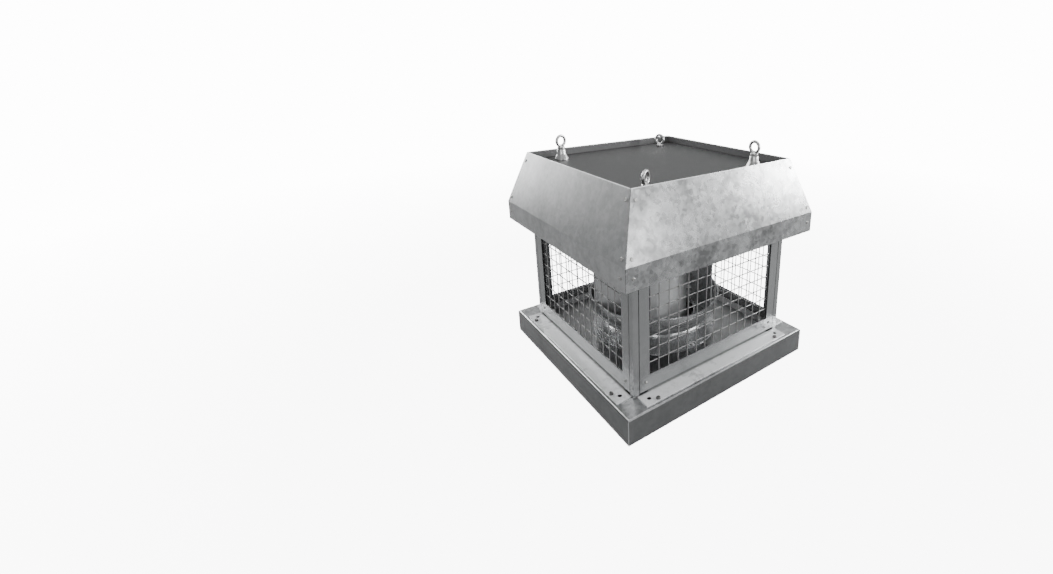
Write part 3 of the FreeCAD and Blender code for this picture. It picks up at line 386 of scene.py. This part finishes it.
# %% Finish of every node
FINISHES = {
    "base_tray": base_zinc, "sill": sill_zinc, "corner_post": cage_zinc, "guard_frame": cage_zinc,
    "guard_mesh": wire_zinc, "hood_panel_left": calm_zinc, "hood_panel_back": calm_zinc,
    "hood_panel": hood_zinc, "hip_strip": inner_zinc, "top_deck": painted_dark_deck,
    "motor_plate": inner_zinc, "hood_bracket": inner_zinc, "lifting_rods": screw_zinc,
    "lifting_eye": eye_zinc, "eye_feet": eye_zinc, "inlet_nozzle": spun_zinc, "wheel_shroud": spun_zinc,
    "wheel_back_plate": spun_zinc, "wheel_blades": inner_zinc, "rotor_can": cast_metal,
    "motor_flange": cast_metal, "motor_shaft": ground_metal, "lower_bearing": ground_metal,
    "upper_bearing": ground_metal, "stator_winding": copper_winding, "terminal_box": box_plastic,
    "cable_gland": box_plastic, "run_capacitor": pale_plastic, "screws": screw_zinc, "bolts": screw_zinc,
}

for name, node in nodes.items():
    finish = next(made for key, made in FINISHES.items() if name.startswith(key) or name.endswith(key))
    node.data.materials.clear()
    node.data.materials.append(finish)
print("dressed", len(nodes), "nodes")

# %% [markdown]
# A fold in thin sheet is a small round, and that round is what catches a line of light. The hood's
# panels show it most, so they get a narrow Bevel. Weld joins the loose triangles first, and Weighted
# Normal keeps the flat faces flat. The other sheet pieces are left as they are, because a bevel on a
# face with holes leaves dark lines between the holes.

# %% Folds of the hood
JOINED, FOLD_RADIUS = 0.00001, 0.0010
LEAST_FOLD = math.radians(17)

for name, node in nodes.items():
    if not name.startswith("hood_panel"):
        continue
    weld = node.modifiers.new("weld", "WELD")
    weld.merge_threshold = JOINED
    bevel = node.modifiers.new("fold", "BEVEL")
    bevel.width = FOLD_RADIUS
    bevel.segments = 2
    bevel.limit_method = "ANGLE"
    bevel.angle_limit = LEAST_FOLD
    node.modifiers.new("even", "WEIGHTED_NORMAL").weight = 100
    print("folded", name)

# %% [markdown]
# ## Surfaces from arrays
# A round piece is a profile turned about an axis, and a wire is a circle carried along a line. Both
# are a grid of points worked out in one go, and the faces join each point to its neighbours. Faces
# have to point outwards: the signed volume tells whether they do, because it is negative when they
# point inwards.

# %% Grid and volume
def grid_faces(rows, columns, wrap_rows, wrap_columns):
    """Four-sided faces of a rows by columns grid of points, wrapped round where asked."""
    row = np.arange(rows if wrap_rows else rows - 1)[:, None]
    column = np.arange(columns if wrap_columns else columns - 1)[None, :]
    after_row, after_column = (row + 1) % rows, (column + 1) % columns
    quads = [row * columns + column, row * columns + after_column,
             after_row * columns + after_column, after_row * columns + column]
    return np.stack([np.broadcast_to(q, (len(row), column.shape[1])) for q in quads], -1).reshape(-1, 4)


def volume(points, faces):
    """Signed volume: the sum over triangles of a . (b x c) / 6, each face being a fan of triangles."""
    faces = np.asarray(faces)
    a = points[faces[:, 0]]
    total = 0.0
    for second in range(1, faces.shape[1] - 1):
        b, c = points[faces[:, second]], points[faces[:, second + 1]]
        total += np.einsum("ij,ij->i", a, np.cross(b, c)).sum() / 6
    return total


# %% [markdown]
# `add_piece` turns such points into an object, hangs it on the body that carries it, and hides the
# CAD node that it stands for.

# %% Add a piece
def add_piece(name, points, faces, finish, body, stands_for, slot="galvanised_sheet", caps=(), sharp=35):
    """Object from points in metres and quads; caps are extra outlines that close open ends."""
    polygons = faces.tolist() + [list(cap) for cap in caps]
    mesh = bpy.data.meshes.new(name)
    mesh.from_pydata(points.tolist(), [], polygons)
    mesh.materials.append(finish)
    mesh.validate()
    mesh.shade_smooth()
    mesh.set_sharp_from_angle(angle=math.radians(sharp))
    piece = bpy.data.objects.new(name, mesh)
    bpy.context.scene.collection.objects.link(piece)
    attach(piece, body)
    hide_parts(stands_for)
    print(f"{name}: {len(points)} points, {len(polygons)} faces")


# %% [markdown]
# ## Outlines and turning
# A corner of pressed or turned metal is never sharp, so `rounded` swaps each corner of an outline for
# an arc. `revolve` then turns the outline about the fan's axis, as a lathe does.

# %% Rounded outlines
def rounded(corners, radius, steps=5):
    """Closed outline with each corner replaced by an arc that is tangent to its two sides.

    With half the corner's angle h, the arc starts radius / tan h from the corner and its centre lies
    radius / sin h along the middle line. Its points are a weighted sum of its first and last spoke.
    """
    corner = np.asarray(corners, float)
    radius = np.broadcast_to(np.asarray(radius, float), len(corner))
    back, ahead = np.roll(corner, 1, 0) - corner, np.roll(corner, -1, 0) - corner
    back_length, ahead_length = np.linalg.norm(back, axis=1), np.linalg.norm(ahead, axis=1)
    back, ahead = back / back_length[:, None], ahead / ahead_length[:, None]
    half = np.arccos(np.clip((back * ahead).sum(1), -1, 1)) / 2
    cut = np.minimum(radius / np.tan(half), 0.45 * np.minimum(back_length, ahead_length))
    middle = back + ahead
    middle /= np.linalg.norm(middle, axis=1)[:, None]
    centre = corner + middle * (cut / np.cos(half))[:, None]
    start, end = corner + back * cut[:, None] - centre, corner + ahead * cut[:, None] - centre
    angle = (np.pi - 2 * half)[:, None]
    share = np.linspace(0, 1, steps)[None, :]
    first = (np.sin((1 - share) * angle) / np.sin(angle))[..., None]
    last = (np.sin(share * angle) / np.sin(angle))[..., None]
    return (centre[:, None] + first * start[:, None] + last * end[:, None]).reshape(-1, 2)


def arc(centre_x, centre_y, radius, start, end, steps=14):
    """Points of a circular arc: centre + radius (cos a, sin a), with a running from start to end."""
    angle = np.radians(np.linspace(start, end, steps))
    return np.stack([centre_x + radius * np.cos(angle), centre_y + radius * np.sin(angle)], -1)


# %% Revolve
def revolve(profile, turns):
    """Closed profile of (radius, height) in millimetres turned about Z: x = r cos t, y = r sin t, z = h."""
    profile = np.asarray(profile, float) / 1000
    turn = np.linspace(0, 2 * np.pi, turns, endpoint=False)
    points = np.stack([profile[:, :1] * np.cos(turn), profile[:, :1] * np.sin(turn),
                       np.broadcast_to(profile[:, 1:], (len(profile), turns))], -1).reshape(-1, 3)
    faces = grid_faces(len(profile), turns, True, True)
    return points, faces if volume(points, faces) > 0 else faces[:, ::-1]


# %% [markdown]
# ## Nozzle and wheel
# The inlet nozzle and the wheel's shroud are spun from flat discs, so each is a body of revolution
# with one wall thickness. The CAD model has their true sizes; these copies only have more steps round
# the turn, so that light runs smoothly over them. The nozzle is a quarter circle that runs into a
# straight lip, and the wheel's eye hangs over that lip.

# %% Nozzle
SHEET, THROAT, BELL = 1.5, 115.0, 35.0

flange, lip = reach("inlet_nozzle", X), reach("inlet_nozzle", Z)
centre_x, centre_z = THROAT + BELL, TRAY_TOP + BELL
nozzle = np.concatenate([
    [(flange, TRAY_TOP), (flange, TRAY_TOP + SHEET)], arc(centre_x, centre_z, BELL - SHEET, 270, 180),
    [(THROAT + SHEET, lip), (THROAT, lip)], arc(centre_x, centre_z, BELL, 180, 270)])
add_piece("nozzle_bell", *revolve(nozzle, 128), spun_zinc, STILL, "inlet_nozzle")

# %% [markdown]
# The shroud is a dish with a round bowl and an outward rim, and its inner side is where the blades
# are welded on. The disc above the blades is flat.

# %% Shroud and disc
EYE, EYE_RISE, RIM, BOWL, BOWL_LOW = 119.5, 6.0, 182.5, 40.5, 109.5

outer, rim_top = reach("wheel_shroud", X), reach("wheel_shroud", Z)
eye_end = reach("wheel_shroud", Z, LOWEST)
centre_x, centre_z = RIM - BOWL, BOWL_LOW + BOWL
shroud = np.concatenate([
    [(EYE, eye_end), (EYE + SHEET, eye_end), (EYE + SHEET, eye_end + EYE_RISE)],
    arc(centre_x, centre_z, BOWL + SHEET, 270, 360),
    [(RIM + SHEET, rim_top - SHEET), (outer, rim_top - SHEET), (outer, rim_top), (RIM, rim_top)],
    arc(centre_x, centre_z, BOWL, 0, -90), [(EYE, BOWL_LOW)]])
add_piece("shroud_ring", *revolve(shroud, 144), spun_zinc, TURNING, "wheel_shroud")

CAN, DISC_GAP = 69.0, 0.3
disc_low, disc_top = reach("wheel_back_plate", Z, LOWEST), reach("wheel_back_plate", Z)
back_plate = rounded([(CAN + DISC_GAP, disc_low), (outer, disc_low), (outer, disc_top),
                      (CAN + DISC_GAP, disc_top)], 0.6, 3)
add_piece("wheel_disc", *revolve(back_plate, 144), spun_zinc, TURNING, "wheel_back_plate")

# %% [markdown]
# ## Rotor
# The rotor is the outer half of the motor: a cast can that turns round the fixed winding, with a
# collar that the disc is screwed to. Each corner of the casting has its own radius.

# %% Rotor
BORE, COLLAR, COLLAR_HIGH, CAN_WALL, CAN_FLOOR = 8.0, 84.0, 4.0, 5.0, 8.0

can_low, can_top = reach("rotor_can", Z, LOWEST), reach("rotor_can", Z)
inside, inner_floor, collar_top = CAN - CAN_WALL, can_low + CAN_FLOOR, disc_top + COLLAR_HIGH
can = rounded([(BORE, can_low), (CAN, can_low), (CAN, disc_top), (COLLAR, disc_top), (COLLAR, collar_top),
               (CAN, collar_top), (CAN, can_top), (inside, can_top), (inside, inner_floor),
               (BORE, inner_floor)], [0.5, 6, 1, 0.8, 0.8, 1, 0.8, 0.8, 4, 0.5], 6)
add_piece("rotor_shell", *revolve(can, 128), cast_metal, TURNING, "rotor_can", "cast_aluminium")

# %% [markdown]
# ## Tubes with two ends
# Blades, wires and screw heads are all the same kind of surface: an outline carried along a path, open
# at both ends. So one function gives many equal copies of it their faces, and closes each end with a
# cap.

# %% Tubes
def tubes(points):
    """Points, faces and end caps of equal tubes, from (copies, rings, points of a ring, 3) in metres."""
    count, rings, sides = points.shape[:3]
    size = rings * sides
    starts = size * np.arange(count)[:, None]
    one = grid_faces(rings, sides, False, True)
    faces = (starts[:, :, None] + one[None]).reshape(-1, 4)
    caps = np.concatenate([starts + np.arange(sides), starts + size - 1 - np.arange(sides)])
    points = points.reshape(-1, 3)
    if volume(points, faces) + volume(points, caps) < 0:
        faces, caps = faces[:, ::-1], caps[:, ::-1]
    return points, faces, caps


# %% [markdown]
# ## Blades
# Each blade is a strip of sheet rolled to one radius and welded between the shroud and the disc. It
# leans backwards: its outer edge trails its inner edge as the wheel turns. Its lower edge follows the
# shroud's bowl, so the height of that edge is a formula of the radius.

# %% Blades
BLADES, FIRST_BLADE, SWEEP = 6, 49.3, math.radians(50.0)
ROOT, BEND, BLADE_SHEET, BLADE_STEPS = 118.0, 150.0, 2.0, 28


def bowl_height(radius):
    """Inner height of the shroud at a radius: flat, then a quarter circle up to its rim."""
    inside = np.clip(radius - (RIM - BOWL), 0, BOWL)
    return BOWL_LOW + BOWL - np.sqrt(BOWL ** 2 - inside ** 2)


def one_blade():
    """Arc from the rim to the root, given a thickness outwards: rings of four corners along it."""
    tip = np.array([RIM, 0.0])
    root = ROOT * np.array([math.cos(SWEEP), math.sin(SWEEP)])
    chord = root - tip
    length = np.linalg.norm(chord)
    left = np.array([-chord[1], chord[0]]) / length
    centre = (tip + root) / 2 + left * math.sqrt(BEND ** 2 - length ** 2 / 4)
    first, last = (math.atan2(*(end - centre)[::-1]) for end in (tip, root))
    angle = np.linspace(first, last, BLADE_STEPS)
    spoke = np.stack([np.cos(angle), np.sin(angle)], -1)
    corners = []
    for bend, top in ((BEND, False), (BEND, True), (BEND + BLADE_SHEET, True), (BEND + BLADE_SHEET, False)):
        line = centre + spoke * bend
        radius = np.minimum(np.linalg.norm(line, axis=1), RIM)
        height = np.full(BLADE_STEPS, disc_low) if top else bowl_height(radius)
        corners.append(np.concatenate([line, height[:, None]], 1))
    return np.stack(corners, 1)


def turned_round(points, degrees):
    """Copies of points turned about Z: (x cos t - y sin t, x sin t + y cos t, z)."""
    turn = np.radians(degrees)
    c, s, zero, one = np.cos(turn), np.sin(turn), np.zeros(len(turn)), np.ones(len(turn))
    spin = np.stack([np.stack([c, -s, zero], -1), np.stack([s, c, zero], -1),
                     np.stack([zero, zero, one], -1)], 1)
    return np.einsum("kij,abj->kabi", spin, points)


blades = turned_round(one_blade(), FIRST_BLADE + 360 / BLADES * np.arange(BLADES))
points, faces, caps = tubes(blades / 1000)
add_piece("blades", points, faces, inner_zinc, TURNING, "wheel_blades", caps=caps)

# %% [markdown]
# ## Wire guards
# The guards are welded mesh: straight uprights with cross wires behind them, sunk a little into each
# other where the welder pressed them together. One wire is a circle carried along a line, and a whole
# guard is that one wire moved and turned, all in one array.

# %% Straight wires
def wires(starts, ends, radius, sides=10):
    """Straight round wires from starts to ends: centre line plus radius (cos a, sin a) across it."""
    starts, ends = np.asarray(starts, float), np.asarray(ends, float)
    along = ends - starts
    along /= np.linalg.norm(along, axis=1)[:, None]
    across = np.cross(along, [0.0, 1.0, 0.0])
    across /= np.linalg.norm(across, axis=1)[:, None]
    third = np.cross(along, across)
    angle = np.linspace(0, 2 * np.pi, sides, endpoint=False)[None, :, None]
    ring = radius * (np.cos(angle) * across[:, None] + np.sin(angle) * third[:, None])
    return np.stack([starts[:, None] + ring, ends[:, None] + ring], 1)


def quarter_turn(points, times):
    """Turn points about Z by a number of quarter turns: (x, y) becomes (-y, x) each time."""
    for _ in range(times):
        points = np.stack([-points[:, 1], points[:, 0], points[:, 2]], -1)
    return points


# %% Guards
WIRE, BITE = 2.5, 0.4
UPRIGHTS = 29.3 * (np.arange(13) - 6)
ROWS = 107.7 + 33.3 * np.arange(8)

mesh_half, mesh_outer = reach("guard_mesh_front", X), reach("guard_mesh_front", Y, LOWEST)
mesh_low, mesh_top = reach("guard_mesh_front", Z, LOWEST), reach("guard_mesh_front", Z)
upright_y = mesh_outer + WIRE / 2
row_y = upright_y + WIRE - BITE
starts = [(x, upright_y, mesh_low) for x in UPRIGHTS] + [(-mesh_half, row_y, z) for z in ROWS]
ends = [(x, upright_y, mesh_top) for x in UPRIGHTS] + [(mesh_half, row_y, z) for z in ROWS]
points, faces, caps = tubes(wires(starts, ends, WIRE / 2) / 1000)
for times, side in enumerate(("front", "right", "back", "left")):
    add_piece("wires_" + side, quarter_turn(points, times), faces, wire_zinc, STILL,
              "guard_mesh_" + side, "galvanised_wire", caps, 50)

# %% [markdown]
# ## Screws and bolts
# Sheet metal like this is put together with self-drilling screws that have a hexagon head on a wide
# flange. The head is a stack of rings. The lower rings are round, and the upper ones follow a
# hexagon: its radius at an angle is the flat's distance divided by the cosine of the angle from that
# flat's middle.

# %% Hexagon heads
def hexagon_head(flange, flat, height, sides=24):
    """Rings of a flanged hexagon head, from its seat up: r = flat / cos(angle from a flat's middle)."""
    angle = np.linspace(0, 2 * np.pi, sides, endpoint=False)
    from_flat = (angle + np.pi / 6) % (np.pi / 3) - np.pi / 6
    six = flat / np.cos(from_flat)
    round_ring = np.full(sides, float(flange))
    levels = [(0.0, round_ring * 0.02), (0.0, round_ring), (height * 0.16, round_ring),
              (height * 0.26, np.minimum(six * 1.06, flange)), (height * 0.30, six),
              (height * 0.88, six), (height, six * 0.90), (height * 0.97, six * 0.55),
              (height * 0.90, six * 0.02)]
    return np.stack([np.stack([r * np.cos(angle), r * np.sin(angle), np.full(sides, z)], -1)
                     for z, r in levels])


SMALL_HEAD, HOOD_HEAD = hexagon_head(4.0, 2.75, 2.2), hexagon_head(4.5, 3.4, 2.2)
BOLT_HEAD, MOTOR_HEAD = hexagon_head(5.8, 4.3, 4.0), hexagon_head(7.4, 6.4, 5.3)
print("a head has", SMALL_HEAD.shape[0] * SMALL_HEAD.shape[1], "points")

# %% [markdown]
# A head sits at a seat and stands along a direction. Two more directions across it make a frame of
# three, and the head's points are carried into that frame. No two screws stop at the same angle, so
# each head is also turned by its own step.

# %% Heads at their seats
HEAD_STEP = 0.9


def add_heads(name, head, seats, directions, node, body=STILL, finish=screw_zinc):
    """One head at each seat: seat + frame . point, with the frame's third axis along the direction."""
    seats, directions = np.asarray(seats, float), np.asarray(directions, float)
    directions /= np.linalg.norm(directions, axis=1)[:, None]
    helper = np.where(np.abs(directions[:, 2:]) > 0.9, [[1.0, 0.0, 0.0]], [[0.0, 0.0, 1.0]])
    across = np.cross(helper, directions)
    across /= np.linalg.norm(across, axis=1)[:, None]
    third = np.cross(directions, across)
    turn = HEAD_STEP * np.arange(len(seats))[:, None]
    turned = across * np.cos(turn) + third * np.sin(turn)
    basis = np.stack([turned, third * np.cos(turn) - across * np.sin(turn), directions], 2)
    placed = seats[:, None, None] + np.einsum("kij,abj->kabi", basis, head)
    points, faces, caps = tubes(placed / 1000)
    add_piece(name, points, faces, finish, body, node, "zinc_plated_steel", caps, 30)


def round_four(places, direction):
    """The same places, and one direction for each of them, at all four sides of the fan."""
    places = np.asarray(places, float)
    directions = np.broadcast_to(np.asarray(direction, float), places.shape)
    return [np.concatenate([quarter_turn(row, k) for k in range(4)]) for row in (places, directions)]


def around(count, radius, height, direction):
    """Places on a circle about the axis, and one direction for each of them."""
    angle = 2 * np.pi * np.arange(count) / count
    places = np.stack([radius * np.cos(angle), radius * np.sin(angle), np.full(count, height)], -1)
    return places, np.tile(np.asarray(direction, float), (count, 1))


# %% [markdown]
# The cage and the hood are alike on all four sides, so their screws are given for the front and then
# turned round. The hood's screws sit near both ends of its sloping hips.

# %% Screws of the cage and the hood
OUT, UPWARDS, DOWNWARDS = (0.0, -1.0, 0.0), (0.0, 0.0, 1.0), (0.0, 0.0, -1.0)
GUARD_X, GUARD_HEIGHTS = 216.0, (95.0, 352.0)
SLOPE_FOOT, SLOPE_RUN, HIP_GAP, HIP_SHARES = 420.0, 48.0, 14.0, (0.1, 0.84)
SKIRT_X, SKIRT_HEIGHT = 281.0, 394.0

slope_rise = HOOD_TOP - SLOPE_FOOT
slope_out = (0.0, -slope_rise, SLOPE_RUN)
guard_places = [(GUARD_X * side, -CAGE_HALF, z) for side in (-1, 1) for z in GUARD_HEIGHTS]
hood_places = [((HOOD_HALF - SLOPE_RUN * k - HIP_GAP) * side, -(HOOD_HALF - SLOPE_RUN * k),
                SLOPE_FOOT + slope_rise * k) for side in (-1, 1) for k in HIP_SHARES]
skirt_places = [(SKIRT_X * side, -HOOD_HALF, SKIRT_HEIGHT) for side in (-1, 1)]
add_heads("guard_screw_heads", SMALL_HEAD, *round_four(guard_places, OUT), "guard_screws")
add_heads("hood_screw_heads", HOOD_HEAD, *round_four(hood_places, slope_out), "hood_screws")
add_heads("skirt_screw_heads", HOOD_HEAD, *round_four(skirt_places, OUT), "skirt_screws")

# %% Bolts, and the screws about the axis
SILL_SHEET, SILL_X, SILL_Y = 2.0, 205.0, 283.0
BRACKET_SHEET, BRACKET_OUT = 2.5, 226.0
NOZZLE_CIRCLE, ROTOR_CIRCLE, MOTOR_CIRCLE = 168.0, 77.0, 66.0

sill_places = [(SILL_X * side, -SILL_Y, TRAY_TOP + SILL_SHEET) for side in (-1, 1)]
bracket_places = [(-BRACKET_OUT, -BRACKET_OUT, PLATE_TOP + BRACKET_SHEET)]
add_heads("sill_bolt_heads", BOLT_HEAD, *round_four(sill_places, UPWARDS), "sill_bolts", finish=bolt_zinc)
add_heads("bracket_bolt_heads", BOLT_HEAD, *round_four(bracket_places, UPWARDS), "bracket_bolts")
add_heads("nozzle_screw_heads", SMALL_HEAD, *around(8, NOZZLE_CIRCLE, TRAY_TOP + SHEET, UPWARDS),
          "nozzle_screws")
add_heads("rotor_screw_heads", SMALL_HEAD, *around(6, ROTOR_CIRCLE, disc_low, DOWNWARDS),
          "rotor_screws", TURNING)
add_heads("motor_bolt_heads", MOTOR_HEAD, *around(4, MOTOR_CIRCLE, PLATE_TOP, UPWARDS), "motor_bolts")

# %% [markdown]
# ## Lifting eyes
# A lifting eye is forged in one piece: a round collar, a short neck and a ring that flows into it.
# The collar and neck are one profile turned about the rod, and the ring is a torus. They cross inside
# the neck, as the forging's halves do. Two eyes stand on turned feet, and each eye was stopped at its
# own angle.

# %% Lifting eyes
ROD_X, ROD_Y, FOOT_HIGH = 174.0, 197.0, reach("eye_feet", Z) - DECK_TOP
EYES = {"front_left": (-ROD_X, -ROD_Y, 0, 28.7), "front_right": (ROD_X, -ROD_Y, FOOT_HIGH, 93),
        "back_right": (ROD_X, ROD_Y, 0, -71.1), "back_left": (-ROD_X, ROD_Y, FOOT_HIGH, 13)}
RING_RADIUS, RING_THICK, RING_HEIGHT = 14.0, 4.0, 22.5
NEAR_AXIS = 0.05


def ring_and_collar(turn):
    """The collar is a turned profile; the ring is a torus that stands on edge, turned about Z."""
    profile = rounded([(NEAR_AXIS, 0), (10, 0), (10, 6), (8, 8), (4.2, 12.5), (NEAR_AXIS, 12.5)],
                      [0.01, 1.2, 1.5, 2.5, 2, 0.01], 5)
    collar, collar_faces = revolve(profile, 48)
    big, small = np.meshgrid(np.linspace(0, 2 * np.pi, 64, endpoint=False),
                             np.linspace(0, 2 * np.pi, 20, endpoint=False), indexing="ij")
    out, aside = (RING_RADIUS + RING_THICK * np.cos(small)) * np.cos(big), RING_THICK * np.sin(small)
    c, s = math.cos(math.radians(turn)), math.sin(math.radians(turn))
    height = (RING_RADIUS + RING_THICK * np.cos(small)) * np.sin(big) + RING_HEIGHT
    ring = np.stack([out * c + aside * s, out * s - aside * c, height], -1).reshape(-1, 3) / 1000
    ring_faces = grid_faces(64, 20, True, True)
    if volume(ring, ring_faces) < 0:
        ring_faces = ring_faces[:, ::-1]
    return np.concatenate([collar, ring]), np.concatenate([collar_faces, ring_faces + len(collar)])


for corner, (x, y, raised, turn) in EYES.items():
    points, faces = ring_and_collar(turn)
    points = points + np.array([x, y, DECK_TOP + raised]) / 1000
    add_piece("eye_" + corner, points, faces, eye_zinc, STILL, "lifting_eye_" + corner, "zinc_plated_steel")

# %% Feet under two of the eyes
foot = rounded([(4.3, 0), (20, 0), (19.4, 4), (13, 16), (11, FOOT_HIGH), (4.3, FOOT_HIGH)],
               [0.3, 0.8, 2, 6, 1, 0.3], 5)
foot_points, foot_faces = revolve(foot, 64)
feet = np.concatenate([foot_points + np.array([x, y, DECK_TOP]) / 1000
                       for x, y, raised, _ in EYES.values() if raised])
add_piece("feet_under_eyes", feet, np.concatenate([foot_faces, foot_faces + len(foot_points)]), eye_zinc,
          STILL, "eye_feet", "zinc_plated_steel")

# %% [markdown]
# ## Floor
# In a studio such an object stands on a sheet of opal glass, so that it is seen on white and still
# throws a soft shadow. The floor here does the same: it is partly clear, and it fades out with
# distance, so it has no edge against the white room. Only beneath the fan is it solid, so that no
# white shines up through the holes in the tray.

# %% Floor
OPAQUE, FADE_FROM, FADE_OVER, FLOOR_HALF = 0.38, 0.9, 2.2, 4.0

floor_finish = new_finish("studio_floor")
place = floor_finish.place()
away = floor_finish.node("VectorMath", {"operation": "LENGTH"}, {0: place}, "Value")
fade = 1 - away.past(FADE_FROM, FADE_OVER)
beneath = 1 - floor_finish.from_axis(place).past((TRAY_HALF - 4.0) / 1000)
tone = floor_finish.blend(floor_finish.noise(place, 3.0, 2.0), (0.50, 0.50, 0.50, 1), (0.54, 0.54, 0.54, 1))
opaque = fade * OPAQUE + beneath * (1 - OPAQUE)
floor_material = floor_finish.close(Base_Color=tone, Roughness=0.9, Alpha=opaque)
floor_mesh = bpy.data.meshes.new("studio_floor")
floor_mesh.from_pydata([(x * FLOOR_HALF, y * FLOOR_HALF, 0) for x, y in ((-1, -1), (1, -1), (1, 1), (-1, 1))],
                       [], [(0, 1, 2, 3)])
floor_mesh.materials.append(floor_material)
floor = bpy.data.objects.new("studio_floor", floor_mesh)
bpy.context.scene.collection.objects.link(floor)
print("floor", 2 * FLOOR_HALF, "m wide")

# %% [markdown]
# ## Light
# Metal shows what it reflects, so the look of the sheet is made by what stands round it: a wide panel
# far round to the right with a small strong one beside it, which the right slope mirrors at its far
# end, a weak one in front for its near end, another at the front left for the cage, one behind at the
# left for the left slope, two high ones behind for the level sheet, and a wide weak one overhead.
# Upright faces mirror the floor, which is why they are darker than the slopes.

# %% Lights
AIM = np.array([0.0, 0.0, 0.35])


def softbox(name, bearing, height, distance, wide, tall, power):
    """Rectangular lamp that faces the fan: bearing in degrees from -Y towards +X, height in metres."""
    turn = math.radians(bearing)
    place = np.array([distance * math.sin(turn), -distance * math.cos(turn), height])
    away = (place - AIM) / np.linalg.norm(place - AIM)
    side_way = np.array([math.cos(turn), math.sin(turn), 0.0])
    pose = np.eye(4)
    pose[:3, :3] = np.stack([side_way, np.cross(away, side_way), away], 1)
    pose[:3, 3] = place
    lamp = bpy.data.lights.new(name, "AREA")
    lamp.shape, lamp.size, lamp.size_y, lamp.energy = "RECTANGLE", wide, tall, power
    holder = bpy.data.objects.new(name, lamp)
    holder.matrix_world = Matrix(pose)
    holder.visible_camera = False
    bpy.context.scene.collection.objects.link(holder)
    print(f"{name}: {power} W")


softbox("right_panel", 80, 0.95, 2.6, 1.3, 1.3, 50)
softbox("right_corner_panel", 57, 1.05, 2.6, 0.45, 0.6, 48)
softbox("front_panel", 20, 1.1, 2.8, 0.8, 1.1, 12)
softbox("left_front_panel", -38, 1.0, 2.4, 0.7, 0.7, 12)
softbox("back_left_panel", 191, 0.9, 2.8, 1.3, 1.2, 68)
softbox("high_back_panel", 139, 2.8, 2.6, 2.0, 0.9, 18)
softbox("high_left_panel", 208, 2.2, 2.6, 1.2, 0.6, 26)
softbox("overhead_panel", 0, 3.2, 0.3, 3.0, 3.0, 56)

# %% [markdown]
# The room itself gives a weak even light. What the camera sees behind the fan is much brighter than
# that, so the backdrop comes out white without flooding the metal.

# %% Room
ROOM, BACKDROP = 0.34, 14.0

studio = Finish(bpy.data.worlds.new("studio"))
bpy.context.scene.world = studio.owner
room = studio.node("Background", {}, {"Color": (0.97, 0.99, 1.0, 1.0), "Strength": ROOM})
backdrop = studio.node("Background", {}, {"Color": (1.0, 1.0, 1.0, 1.0), "Strength": BACKDROP})
seen = studio.node("LightPath", {}, {}, "Is Camera Ray")
studio.node("OutputWorld", {}, {"Surface": studio.node("MixShader", {}, {0: seen, 1: room, 2: backdrop})})
print("room", ROOM, "backdrop", BACKDROP)
